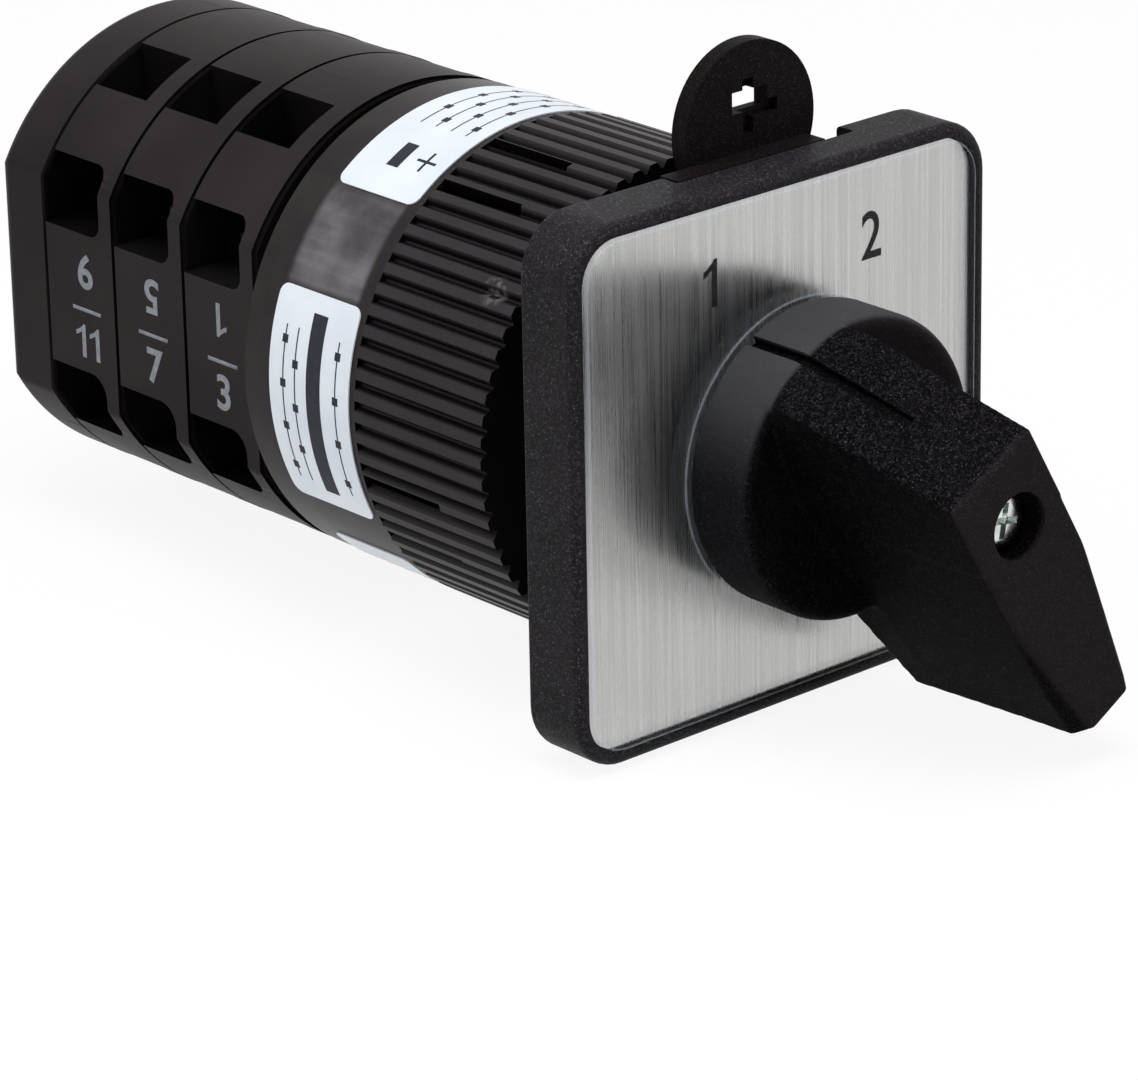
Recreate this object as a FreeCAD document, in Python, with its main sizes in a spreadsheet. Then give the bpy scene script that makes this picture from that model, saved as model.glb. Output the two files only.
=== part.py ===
import FreeCAD, Part
import math
import os

import Sketcher
from FreeCAD import Placement, Rotation, Vector

# Rotary cam switch for a panel, 48 mm square front, one 22 mm hole, three contact stages.
# Millimetres. X to the right of someone facing the front, +Y along the shaft into the panel, +Z up.
# The origin is on the shaft's axis, in the plane of the front frame's rear face.

SIZES = {
    # front frame, inlay and cover
    "frame_side": 48.0,
    "frame_corner": 5.0,
    "frame_depth": 6.5,
    "frame_lip": 1.3,
    "pocket_corner": 3.8,
    "pocket_depth": 1.0,
    "inlay_thick": 0.3,
    "cover_thick": 0.9,
    "cover_edge": 0.3,
    "cover_fit": 0.08,
    "collar_radius": 13.6,
    "collar_height": 1.9,
    "frame_hole_radius": 5.8,
    "recess_margin": 5.6,
    "recess_depth": 2.2,
    # lock lever in the frame's rear recess
    "lever_thick": 1.8,
    "lever_play": 0.4,
    "lever_ring_width": 2.7,
    "lever_clear": 0.2,
    "arm_left": 7.9,
    "arm_right": 9.0,
    "arm_overlap": 2.4,
    "arm_step": 0.5,
    "arm_shelf_gap": 1.1,
    "notch_play": 0.9,
    "notch_left": 8.3,
    "notch_right": 12.3,
    "tab_shift": 2.45,
    "tab_rise": 2.1,
    "tab_radius": 7.45,
    "tab_thick": 1.7,
    "tab_window_width": 4.1,
    "tab_window_height": 1.9,
    "tab_window_rise": 2.3,
    "tab_slot_width": 1.2,
    "tab_slot_drop": 0.7,
    "tab_slot_rise": 4.2,
    "tab_slot_side": 5.6,
    "tab_slot_shift": 2.2,
    # neck and gasket
    "gasket_thick": 2.2,
    "gasket_overlap": 1.1,
    "neck_radius": 11.0,
    "neck_bore_radius": 8.0,
    "neck_rear": 14.0,
    "neck_flange_play": 0.3,
    "neck_flange_thick": 1.9,
    "bearing_length": 5.1,
    "neck_fit": 0.1,
    # clamp ring
    "panel_gap": 7.6,
    "ring_wall": 2.45,
    "rib_height": 0.65,
    "rib_count": 72,
    "rib_foot_share": 0.88,
    "rib_top_share": 0.42,
    "ring_length": 16.7,
    "ring_front_wall": 1.6,
    "ring_inner_radius": 19.7,
    "ring_bore_clear": 0.2,
    "tongue_slot_width": 0.9,
    "tongue_slot_length": 10.3,
    "tongue_centre_angle": 23.5,
    "tongue_half_angle": 8.1,
    "bead_height": 0.5,
    "bead_width": 1.2,
    "bead_back": 2.6,
    "ring_play": 0.3,
    # adapter housing
    "band_step": 0.2,
    "band_length": 15.1,
    "band_gap": 0.1,
    "groove_depth": 1.65,
    "groove_width": 1.3,
    "spigot_wall": 1.9,
    "adapter_front_wall": 6.2,
    "shaft_pass_radius": 4.7,
    # labels
    "label_thick": 0.15,
    "label_start": 25.1,
    "label_width": 10.4,
    "label_end_angle": 39.5,
    "side_label_start_angle": 65.5,
    "side_label_end_angle": 118.8,
    "bottom_label_angle": 46.0,
    # stages
    "stage_pitch": 10.26,
    "stage_step": 0.05,
    "flat_margin": 4.1,
    "web_thick": 1.6,
    "joint_width": 0.45,
    "joint_depth": 0.35,
    "cam_well_radius": 8.0,
    "channel_width": 6.3,
    "channel_wall": 3.7,
    "bridge_pocket_width": 16.4,
    "bridge_pocket_top": 12.6,
    "ledge_height": 8.1,
    "opening_front": 2.2,
    "upper_opening_low": 6.1,
    "upper_opening_high": 12.7,
    "lower_opening_low": 7.3,
    "lower_opening_high": 13.7,
    "opening_corner": 1.4,
    "lower_opening_corner": 2.2,
    "ledge_end": 14.2,
    "pocket_inner": 8.0,
    "terminal_pocket_top": 13.7,
    "driver_low": 7.35,
    "driver_high": 12.75,
    "driver_front": 2.8,
    # rear cover
    "rear_cover_length": 7.0,
    "rear_cover_round": 1.6,
    "journal_hole_depth": 4.4,
    # tie bolts
    "bolt_inset": 2.3,
    "bolt_radius": 1.5,
    "bolt_head_radius": 2.75,
    "bolt_head_height": 2.2,
    "bolt_head_depth": 2.6,
    "bolt_boss_radius": 3.0,
    "bolt_engagement": 10.0,
    "bolt_fit": 0.05,
    # terminals
    "strip_thick": 0.9,
    "strip_half_width": 2.4,
    "strip_inner": 5.2,
    "strip_outer": 14.0,
    "contact_distance": 6.4,
    "contact_radius": 1.1,
    "contact_height": 0.4,
    "screw_distance": 10.6,
    "screw_radius": 1.48,
    "screw_head_radius": 2.4,
    "screw_head_height": 1.6,
    "screw_slot_width": 0.6,
    "screw_slot_depth": 0.8,
    "screw_fit": 0.02,
    "wire_gap": 2.0,
    "clamp_thick": 0.9,
    "clamp_half_length": 2.6,
    "clamp_half_width": 2.9,
    # moving contacts
    "stroke": 1.5,
    "contact_gap": 0.05,
    "bridge_half_length": 7.6,
    "bridge_half_width": 1.8,
    "bridge_thick": 0.8,
    "plunger_half_width": 3.0,
    "plunger_half_depth": 3.3,
    "plunger_top": 13.2,
    "plunger_window_top": 12.0,
    "plunger_tip_half": 0.25,
    "plunger_fit": 0.15,
    "spring_wire": 0.45,
    "spring_radius": 1.85,
    "spring_pitch": 1.35,
    "spring_bore_clear": 0.2,
    "spring_seat_rise": 0.3,
    "seat_gap": 0.05,
    # cams
    "cam_low_radius": 5.6,
    "cam_half_thick": 3.4,
    "cam_gap": 0.1,
    "turn_angle": 60.0,
    "rest_angle": 30.0,
    # shaft, index wheel and stop disc
    "shaft_square": 6.0,
    "square_fit": 0.05,
    "shaft_front": 27.3,
    "collar_bearing_radius": 5.0,
    "bearing_fit": 0.05,
    "collar_bearing_front": 3.0,
    "collar_bearing_rear": 3.4,
    "journal_radius": 2.9,
    "journal_length": 3.7,
    "wheel_start": 26.0,
    "wheel_thick": 6.0,
    "wheel_play": 1.4,
    "wheel_notch_radius": 2.2,
    "wheel_notch_rise": 1.0,
    "wheel_notch_count": 6,
    "detent_thick": 0.4,
    "detent_width": 5.0,
    "detent_play": 0.2,
    "detent_dip": 1.75,
    "detent_nose_half": 2.2,
    "detent_overhang": 1.5,
    "detent_post_radius": 1.6,
    "detent_post_side_share": 0.6,
    "detent_post_level_share": 0.754,
    "stop_start": 34.8,
    "stop_thick": 3.4,
    "stop_lug_clear": 5.5,
    "stop_lug_height": 3.5,
    "stop_lug_half_angle": 9.0,
    "stop_post_angle": 15.0,
    "stop_post_play": 0.7,
    "stop_play": 0.5,
    # knob
    "knob_gap": 0.2,
    "knob_radius": 13.4,
    "knob_base_height": 6.6,
    "knob_rim_round": 0.8,
    "knob_wall_height": 6.4,
    "knob_front": 34.0,
    "grip_half_width": 5.05,
    "grip_end_half_width": 3.3,
    "ramp_top": 6.5,
    "grip_end_top": 22.6,
    "grip_end_low": 24.4,
    "grip_end_depth": 12.9,
    "grip_under_depth": 10.4,
    "grip_taper_start": 2.0,
    "grip_taper_mid": 13.5,
    "grip_taper_mid_half": 4.65,
    "dish_radius": 27.4,
    "dish_floor": 3.7,
    "index_width": 1.1,
    "index_depth": 0.9,
    "index_ramp_depth": 0.55,
    "index_end": 26.1,
    "knob_screw_hole_radius": 2.95,
    "knob_screw_hole_depth": 3.6,
    "knob_screw_head_radius": 2.45,
    "knob_screw_head_height": 1.8,
    "knob_screw_radius": 1.25,
    "knob_screw_length": 9.0,
    "cross_width": 0.7,
    "cross_length": 3.0,
    "cross_depth": 1.1,
}

os.makedirs("parts", exist_ok=True)
doc = FreeCAD.newDocument("rotary_cam_switch")
sheet = doc.addObject("Spreadsheet::Sheet", "sizes")
for row, (alias, number) in enumerate(SIZES.items(), start=1):
    sheet.set(f"A{row}", alias)
    sheet.set(f"B{row}", str(number))
    sheet.setAlias(f"B{row}", alias)
doc.recompute()


class Size:
    """A number and the expression that gives it from the sheet."""

    def __init__(self, value, text):
        self.value = value
        self.text = text

    def __add__(self, other):
        other = as_size(other)
        return Size(self.value + other.value, f"({self.text} + {other.text})")

    def __sub__(self, other):
        other = as_size(other)
        return Size(self.value - other.value, f"({self.text} - {other.text})")

    def __mul__(self, other):
        other = as_size(other)
        return Size(self.value * other.value, f"({self.text} * {other.text})")

    def __truediv__(self, other):
        other = as_size(other)
        return Size(self.value / other.value, f"({self.text} / {other.text})")

    def __neg__(self):
        return Size(-self.value, f"(0 - {self.text})")


def as_size(amount):
    if isinstance(amount, Size):
        return amount
    return Size(float(amount), str(float(amount)))


class Sheet:
    """Reads the sheet's cells by their names."""

    def __getattr__(self, alias):
        return Size(float(sheet.get(alias)), f"sizes.{alias}")


s = Sheet()
ZERO = as_size(0)
PIECES = []


# Building blocks bound to the sheet

def bind(item, prop, amount):
    item.setExpression(prop, as_size(amount).text)


def box(name, x, y, z):
    """A box from its low and high limits along each axis."""
    item = doc.addObject("Part::Box", name)
    for prop, (low, high) in zip(("Length", "Width", "Height"), (x, y, z)):
        bind(item, prop, as_size(high) - low)
    for axis, (low, high) in zip("xyz", (x, y, z)):
        bind(item, f"Placement.Base.{axis}", low)
    return item


def rod(name, radius, y, x=0, z=0):
    """A cylinder along the shaft's direction, from y[0] to y[1]."""
    item = doc.addObject("Part::Cylinder", name)
    item.Placement = Placement(Vector(), Rotation(Vector(1, 0, 0), -90))
    bind(item, "Radius", radius)
    bind(item, "Height", as_size(y[1]) - y[0])
    for axis, amount in zip("xyz", (x, y[0], z)):
        bind(item, f"Placement.Base.{axis}", amount)
    return item


def post(name, radius, z, x=0, y=0):
    """A cylinder straight up, from z[0] to z[1]."""
    item = doc.addObject("Part::Cylinder", name)
    bind(item, "Radius", radius)
    bind(item, "Height", as_size(z[1]) - z[0])
    for axis, amount in zip("xyz", (x, y, z[0])):
        bind(item, f"Placement.Base.{axis}", amount)
    return item


def beam(name, radius, x, y, z):
    """A cylinder along X, from x[0] to x[1]."""
    item = doc.addObject("Part::Cylinder", name)
    item.Placement = Placement(Vector(), Rotation(Vector(0, 1, 0), 90))
    bind(item, "Radius", radius)
    bind(item, "Height", as_size(x[1]) - x[0])
    for axis, amount in zip("xyz", (x[0], y, z)):
        bind(item, f"Placement.Base.{axis}", amount)
    return item


def sector(name, radius, y, start, end):
    """A slice of a rod between two angles, counted from the top towards +X."""
    item = rod(name, radius, y)
    start, end = as_size(start), as_size(end)
    turn = Rotation(Vector(0, 1, 0), start.value - 90)
    item.Placement = Placement(Vector(), turn.multiply(Rotation(Vector(1, 0, 0), -90)))
    bind(item, "Angle", end - start)
    return item


def fused(name, *items):
    item = doc.addObject("Part::MultiFuse", name)
    item.Shapes = list(items)
    item.Refine = True
    return item


def shared(name, *items):
    item = doc.addObject("Part::MultiCommon", name)
    item.Shapes = list(items)
    item.Refine = True
    return item


def cut(name, base, *tools):
    item = doc.addObject("Part::Cut", name)
    item.Base = base
    item.Tool = tools[0] if len(tools) == 1 else fused(f"{name}_tools", *tools)
    item.Refine = True
    return item


def tube(name, outer, inner, y):
    overrun = as_size(1)
    return cut(name, rod(f"{name}_outer", outer, y),
               rod(f"{name}_inner", inner, (as_size(y[0]) - overrun, as_size(y[1]) + overrun)))


def swung(name, item, angle):
    """The same item turned about the shaft's axis."""
    holder = doc.addObject("Part::Compound", name)
    holder.Links = [item]
    holder.Placement = Placement(Vector(), Rotation(Vector(0, 1, 0), angle))
    return holder


def piece(item, node):
    item.Label = node
    PIECES.append(item)
    return item


# Sketches inside bodies

def sketch_on(body, role, shift=ZERO):
    sketch = body.newObject("Sketcher::SketchObject", f"{body.Name}_sketch")
    plane = [feature for feature in body.Origin.OriginFeatures if feature.Role == role][0]
    sketch.AttachmentSupport = [(plane, "")]
    sketch.MapMode = "FlatFace"
    bind(sketch, "AttachmentOffset.Base.z", shift)
    return sketch


def fix(sketch, kind, line, point, amount):
    """Dimension a point of a line from the sketch's origin."""
    amount = as_size(amount)
    index = sketch.addConstraint(Sketcher.Constraint(kind, -1, 1, line, point, amount.value))
    sketch.setExpression(f"Constraints[{index}]", amount.text)


def outline(sketch, points):
    """A closed polygon whose corners are dimensioned from the origin."""
    corners = [(as_size(a), as_size(b)) for a, b in points]
    count = len(corners)
    first = sketch.GeometryCount
    for i, (a, b) in enumerate(corners):
        c, d = corners[(i + 1) % count]
        sketch.addGeometry(Part.LineSegment(Vector(a.value, b.value), Vector(c.value, d.value)), False)
    for i in range(count):
        sketch.addConstraint(Sketcher.Constraint("Coincident", first + i, 2, first + (i + 1) % count, 1))
    for i, (a, b) in enumerate(corners):
        fix(sketch, "DistanceX", first + i, 1, a)
        fix(sketch, "DistanceY", first + i, 1, b)


def circle(sketch, radius, x=0, z=0):
    x, z = as_size(x), as_size(z)
    radius = as_size(radius)
    ring = sketch.addGeometry(Part.Circle(Vector(x.value, z.value), Vector(0, 0, 1), radius.value), False)
    index = sketch.addConstraint(Sketcher.Constraint("Radius", ring, radius.value))
    sketch.setExpression(f"Constraints[{index}]", radius.text)
    if x.value == 0 and z.value == 0:
        sketch.addConstraint(Sketcher.Constraint("Coincident", ring, 3, -1, 1))
    else:
        fix(sketch, "DistanceX", ring, 3, x)
        fix(sketch, "DistanceY", ring, 3, z)


def rounded_square(sketch, side, corner):
    half = as_size(side) / 2
    corner = as_size(corner)
    h, r = half.value, corner.value
    middle = h - r
    lines = [((-middle, -h), (middle, -h)), ((h, -middle), (h, middle)),
             ((middle, h), (-middle, h)), ((-h, middle), (-h, -middle))]
    centres = [(middle, -middle), (middle, middle), (-middle, middle), (-middle, -middle)]
    for quarter, (line, centre) in enumerate(zip(lines, centres)):
        (a, b), (c, d) = line
        sketch.addGeometry(Part.LineSegment(Vector(a, b), Vector(c, d)), False)
        start = math.radians(90 * quarter - 90)
        ring = Part.Circle(Vector(*centre), Vector(0, 0, 1), r)
        sketch.addGeometry(Part.ArcOfCircle(ring, start, start + math.pi / 2), False)
    for i in range(8):
        sketch.addConstraint(Sketcher.Constraint("Tangent", i, 2, (i + 1) % 8, 1))
    for line, level in ((0, "Horizontal"), (4, "Horizontal"), (2, "Vertical"), (6, "Vertical")):
        sketch.addConstraint(Sketcher.Constraint(level, line))
    fix(sketch, "DistanceY", 0, 1, -half)
    fix(sketch, "DistanceX", 2, 1, half)
    fix(sketch, "DistanceY", 4, 1, half)
    fix(sketch, "DistanceX", 6, 1, -half)
    index = sketch.addConstraint(Sketcher.Constraint("Radius", 1, r))
    sketch.setExpression(f"Constraints[{index}]", corner.text)
    for arc in (3, 5, 7):
        sketch.addConstraint(Sketcher.Constraint("Equal", 1, arc))


def pad(body, sketch, length):
    """Pad from the sketch towards +Y."""
    feature = body.newObject("PartDesign::Pad", f"{body.Name}_pad")
    feature.Profile = sketch
    feature.Reversed = True
    bind(feature, "Length", length)
    return feature


def pocket(body, sketch, depth, towards_front=False):
    """Cut from the sketch towards +Y, or towards the front."""
    feature = body.newObject("PartDesign::Pocket", f"{body.Name}_pocket")
    feature.Profile = sketch
    feature.Reversed = towards_front
    bind(feature, "Length", depth)
    return feature


def turned(body, points):
    """A turned piece from half its section: (radius, depth) corners."""
    sketch = sketch_on(body, "XY_Plane")
    outline(sketch, points)
    feature = body.newObject("PartDesign::Revolution", f"{body.Name}_turning")
    feature.Profile = sketch
    feature.ReferenceAxis = (sketch, ["V_Axis"])
    feature.Angle = 360
    return feature


def new_body(node):
    return piece(doc.addObject("PartDesign::Body", node), node)


# Radii that follow from others
recess_radius = s.frame_side / 2 - s.recess_margin
lever_outer_radius = recess_radius - s.lever_play
lever_inner_radius = lever_outer_radius - s.lever_ring_width
neck_flange_radius = lever_inner_radius - s.neck_flange_play
gasket_radius = recess_radius + s.gasket_overlap
ring_radius = s.ring_inner_radius + s.ring_wall
band_radius = ring_radius - s.band_step
groove_radius = band_radius - s.groove_depth
stage_radius = band_radius - s.stage_step
spigot_radius = s.ring_inner_radius - s.ring_play
cavity_radius = spigot_radius - s.spigot_wall
bolt_distance = cavity_radius - s.bolt_inset
flat_distance = bolt_distance + s.flat_margin
detent_post_side = cavity_radius * s.detent_post_side_share
detent_post_level = cavity_radius * s.detent_post_level_share
detent_level = detent_post_level - s.detent_post_radius - s.detent_play - s.detent_thick / 2
detent_half_length = detent_post_side + s.detent_overhang
wheel_radius = detent_level - s.detent_thick / 2 - s.wheel_play
wheel_notch_distance = wheel_radius + s.wheel_notch_rise
detent_tip = wheel_notch_distance - s.detent_dip
stop_lug_radius = cavity_radius - s.stop_lug_clear
stop_disc_radius = stop_lug_radius - s.stop_lug_height
stop_post_inner = stop_disc_radius + s.stop_post_play
channel_top = stage_radius - s.channel_wall
spring_seat = channel_top - s.spring_seat_rise

# Depths along the shaft, worked out once
frame_face = -s.frame_depth
pocket_floor = frame_face + s.pocket_depth
inlay_face = pocket_floor - s.inlay_thick
cover_face = inlay_face - s.cover_thick
collar_face = cover_face - s.collar_height
knob_back = collar_face - s.knob_gap
ring_rear = s.panel_gap + s.ring_length
band_front = ring_rear + s.band_gap
band_rear = band_front + s.band_length
stage_start = band_rear + s.groove_width
stages_end = stage_start + s.stage_pitch * 3
cover_end = stages_end + s.rear_cover_length
adapter_front = s.panel_gap + s.ring_front_wall + s.ring_play
strip_level = s.ledge_height + s.strip_thick
fixed_contact_level = strip_level + s.contact_height
bridge_level = fixed_contact_level + s.contact_gap + s.contact_height
cam_high_radius = s.cam_low_radius + s.stroke
HALF_TURN = 180.0


def stage_front(number):
    return stage_start + s.stage_pitch * (number - 1)


def stage_middle(number):
    return stage_front(number) + (s.opening_front + s.stage_pitch) / 2


# Front: frame, inlay, cover, gasket, neck

def front_frame():
    body = new_body("front_frame")
    face = sketch_on(body, "XZ_Plane", s.frame_depth)
    rounded_square(face, s.frame_side, s.frame_corner)
    pad(body, face, s.frame_depth)
    tray = sketch_on(body, "XZ_Plane", s.frame_depth)
    rounded_square(tray, s.frame_side - s.frame_lip * 2, s.pocket_corner)
    pocket(body, tray, s.pocket_depth)
    hole = sketch_on(body, "XZ_Plane", s.frame_depth)
    circle(hole, s.frame_hole_radius)
    pocket(body, hole, s.frame_depth)
    recess = sketch_on(body, "XZ_Plane")
    circle(recess, recess_radius)
    pocket(body, recess, s.recess_depth, towards_front=True)
    notch = sketch_on(body, "XZ_Plane")
    top = s.frame_side / 2 + 1
    low = lever_inner_radius - s.notch_play
    outline(notch, [(-s.notch_left, low), (s.notch_right, low), (s.notch_right, top), (-s.notch_left, top)])
    pocket(body, notch, s.recess_depth, towards_front=True)


def inlay_plate():
    body = new_body("inlay_plate")
    face = sketch_on(body, "XZ_Plane", -inlay_face)
    rounded_square(face, s.frame_side - s.frame_lip * 2 - s.cover_fit * 2, s.pocket_corner - s.cover_fit)
    circle(face, s.frame_hole_radius)
    pad(body, face, s.inlay_thick)


def clear_cover():
    body = new_body("clear_cover")
    face = sketch_on(body, "XZ_Plane", -cover_face)
    rounded_square(face, s.frame_side - s.frame_lip * 2 - s.cover_fit * 2, s.pocket_corner - s.cover_fit)
    slab = pad(body, face, s.cover_thick)
    doc.recompute()
    rim = [f"Edge{i + 1}" for i, edge in enumerate(slab.Shape.Edges)
           if edge.BoundBox.YMax < cover_face.value + s.cover_edge.value / 2]
    bevel = body.newObject("PartDesign::Chamfer", "cover_bevel")
    bevel.Base = (slab, rim)
    bind(bevel, "Size", s.cover_edge)
    collar = sketch_on(body, "XZ_Plane", -collar_face)
    circle(collar, s.collar_radius)
    pad(body, collar, s.collar_height)
    hole = sketch_on(body, "XZ_Plane", -collar_face)
    circle(hole, s.frame_hole_radius)
    pocket(body, hole, s.collar_height + s.cover_thick)


def panel_gasket():
    body = new_body("panel_gasket")
    face = sketch_on(body, "XZ_Plane")
    circle(face, gasket_radius)
    circle(face, s.neck_radius + s.neck_fit)
    pad(body, face, s.gasket_thick)


def mounting_neck():
    body = new_body("mounting_neck")
    front = -s.recess_depth + s.neck_fit
    bearing_radius = s.collar_bearing_radius + s.bearing_fit
    step = front + s.bearing_length
    turned(body, [(bearing_radius, front), (neck_flange_radius, front),
                  (neck_flange_radius, front + s.neck_flange_thick),
                  (s.neck_radius, front + s.neck_flange_thick), (s.neck_radius, s.neck_rear),
                  (s.neck_bore_radius, s.neck_rear), (s.neck_bore_radius, step), (bearing_radius, step)])


def lock_lever():
    """A flat ring in the frame's recess, with an arm in the top notch and a round tab behind it."""
    front = -s.recess_depth + s.lever_clear
    rear = front + s.lever_thick
    ring = tube("lever_ring", lever_outer_radius, lever_inner_radius, (front, rear))
    top = s.frame_side / 2
    foot = lever_outer_radius - s.arm_overlap
    shelf_level = gasket_radius + s.arm_shelf_gap
    arm = box("lever_arm", (-s.arm_left, s.arm_right), (front, rear), (foot, top))
    shelf = box("lever_shelf", (-s.arm_left, s.arm_right), (rear, rear + s.arm_step), (shelf_level, top))
    tab_front = rear + s.arm_step
    tab_rear = tab_front + s.tab_thick
    tab_height = top + s.tab_rise
    disc = rod("tab_disc", s.tab_radius, (tab_front, tab_rear), s.tab_shift, tab_height)
    above = box("tab_above", (-s.frame_side, s.frame_side), (tab_front, tab_rear),
                (shelf_level, s.frame_side))
    tab = shared("lever_tab", disc, above)
    window_left = s.tab_shift - s.tab_window_width / 2
    through = (tab_front - 1, tab_rear + 1)
    window_level = tab_height + s.tab_window_rise
    window = box("tab_window", (window_left, window_left + s.tab_window_width), through,
                 (window_level - s.tab_window_height / 2, window_level + s.tab_window_height / 2))
    half_slot = s.tab_slot_width / 2
    blind = (tab_front - 1, tab_front + s.tab_thick / 2)
    upright = box("tab_upright_slot", (s.tab_slot_shift - half_slot, s.tab_slot_shift + half_slot), blind,
                  (tab_height - s.tab_slot_drop, tab_height + s.tab_slot_rise))
    level = box("tab_level_slot", (s.tab_slot_shift, s.tab_slot_side), blind,
                (window_level - s.tab_window_height / 2 - half_slot,
                 window_level - s.tab_window_height / 2 + half_slot))
    piece(cut("lock_lever_cut", fused("lever_whole", ring, arm, shelf, tab), window, upright, level),
          "lock_lever")


# Clamp ring and adapter

def ribbed_shape():
    """The clamp ring's outside: a round bar with equal ribs along it."""
    count = int(s.rib_count.value)
    tip = ring_radius.value
    root = tip - s.rib_height.value
    pitch = 2 * math.pi / count
    half_foot = pitch * s.rib_foot_share.value / 2
    half_top = pitch * s.rib_top_share.value / 2
    corners = []
    for i in range(count):
        middle = i * pitch
        for radius, angle in ((root, middle - half_foot), (tip, middle - half_top),
                              (tip, middle + half_top), (root, middle + half_foot)):
            corners.append(Vector(radius * math.sin(angle), s.panel_gap.value, radius * math.cos(angle)))
    face = Part.Face(Part.makePolygon(corners + corners[:1]))
    return face.extrude(Vector(0, s.ring_length.value, 0))


def clamp_ring():
    ribs = doc.addObject("Part::Feature", "ring_ribs")
    ribs.Shape = ribbed_shape()
    inside = rod("ring_inside", s.ring_inner_radius, (s.panel_gap + s.ring_front_wall, ring_rear + 1))
    bore = rod("ring_bore", s.neck_radius + s.ring_bore_clear, (s.panel_gap - 1, ring_rear))
    slots = []
    half = s.tongue_slot_width / 2
    for quarter in range(4):
        for side in (-1, 1):
            angle = -(s.tongue_centre_angle.value + 90 * quarter + side * s.tongue_half_angle.value)
            slot = box("tongue_slot", (-half, half), (ring_rear - s.tongue_slot_length, ring_rear + 1),
                       (s.neck_radius, ring_radius + 1))
            slots.append(swung("tongue_slot_turned", slot, angle))
    shell = cut("ring_shell", ribs, inside, bore)
    bead_rear = ring_rear - s.bead_back
    bead = tube("ring_bead", s.ring_inner_radius + s.rib_height, s.ring_inner_radius - s.bead_height,
                (bead_rear - s.bead_width, bead_rear))
    piece(cut("clamp_ring_cut", fused("ring_with_bead", shell, bead), *slots), "clamp_ring")


def adapter_housing():
    spigot = rod("adapter_spigot", spigot_radius, (adapter_front, band_front))
    band = rod("adapter_band", band_radius, (band_front, band_rear))
    tail = shared("adapter_tail", rod("adapter_tail_round", groove_radius, (band_rear, stage_start)),
                  box("adapter_flats", (-flat_distance, flat_distance), (band_rear, stage_start),
                      (-band_radius, band_radius)))
    cavity_front = adapter_front + s.adapter_front_wall
    cavity = rod("adapter_cavity", cavity_radius, (cavity_front, stage_start + 1))
    socket = rod("adapter_socket", s.neck_radius + s.neck_fit, (adapter_front - 1, s.neck_rear + s.neck_fit))
    shaft_way = rod("adapter_shaft_way", s.shaft_pass_radius, (adapter_front, cavity_front + 1))
    bead_front = ring_rear - s.bead_back - s.bead_width
    groove = tube("bead_groove", spigot_radius + 1, s.ring_inner_radius - s.bead_height - s.ring_play,
                  (bead_front - s.ring_play, bead_front + s.bead_width + s.ring_play))
    shell = cut("adapter_shell", fused("adapter_outside", spigot, band, tail), cavity, socket, shaft_way,
                groove)
    inside = [shell]
    for side in (-1, 1):
        boss = rod("bolt_boss", s.bolt_boss_radius, (stage_start - s.bolt_engagement - 1, stage_start),
                   bolt_distance * side)
        hole = rod("bolt_boss_hole", s.bolt_radius + s.bolt_fit,
                   (stage_start - s.bolt_engagement - s.bolt_fit, stage_start + 1), bolt_distance * side)
        inside.append(cut("bolt_boss_drilled", boss, hole))
        for level in (-1, 1):
            inside.append(rod("detent_post", s.detent_post_radius,
                              (s.wheel_start, s.wheel_start + s.wheel_thick),
                              detent_post_side * side, detent_post_level * level))
    stop_depths = (s.stop_start, s.stop_start + s.stop_thick)
    reach = cavity_radius + 0.5
    clear = s.stop_lug_half_angle + s.stop_play
    low_end = -s.rest_angle - clear
    high_start = -s.rest_angle + s.turn_angle + clear
    for start in (low_end - s.stop_post_angle, high_start):
        wedge = sector("stop_wedge", reach, stop_depths, start, start + s.stop_post_angle)
        core = rod("stop_core", stop_post_inner, (s.stop_start - 1, s.stop_start + s.stop_thick + 1))
        inside.append(cut("stop_post", wedge, core))
    piece(fused("adapter_whole", *inside), "adapter_housing")


def labels():
    depths = (s.label_start, s.label_start + s.label_width)
    spans = {"label_top": (-s.label_end_angle, s.label_end_angle),
             "label_side": (-s.side_label_end_angle, -s.side_label_start_angle),
             "label_bottom": (as_size(HALF_TURN) - s.bottom_label_angle,
                              as_size(HALF_TURN) + s.bottom_label_angle)}
    for node, (start, end) in spans.items():
        sheet_part = sector(f"{node}_sheet", band_radius + s.label_thick, depths, start, end)
        core = rod(f"{node}_core", band_radius, depths)
        piece(cut(f"{node}_cut", sheet_part, core), node)


# Contact stages

def flatted(name, radius, half_width, y):
    """A round bar with a flat on the left and one on the right."""
    return shared(name, rod(f"{name}_round", radius, y),
                  box(f"{name}_slab", (-half_width, half_width), y, (-radius, radius)))


def wire_opening(name, x, y, z, corner):
    """A wire hole through a flat, whose front corners are rounded along X."""
    low, high = z
    back = box(f"{name}_back", x, (y[0] + corner, y[1]), z)
    front = box(f"{name}_front", x, (y[0], y[0] + corner), (low + corner, high - corner))
    rounds = [beam(f"{name}_round", corner, x, y[0] + corner, level)
              for level in (low + corner, high - corner)]
    return [back, front] + rounds


def lower_wire_opening(name, x, y, z):
    """The lower wire hole has one large round, at its inner front corner."""
    outer, inner = z
    big, small = s.lower_opening_corner, s.opening_corner
    back = box(f"{name}_back", x, (y[0] + big, y[1]), z)
    front = box(f"{name}_front", x, (y[0], y[0] + big), (outer + small, inner - big))
    outer_step = box(f"{name}_step", x, (y[0] + small, y[0] + big), (outer, outer + small))
    return [back, front, outer_step, beam(f"{name}_big", big, x, y[0] + big, inner - big),
            beam(f"{name}_small", small, x, y[0] + small, outer + small)]


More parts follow.
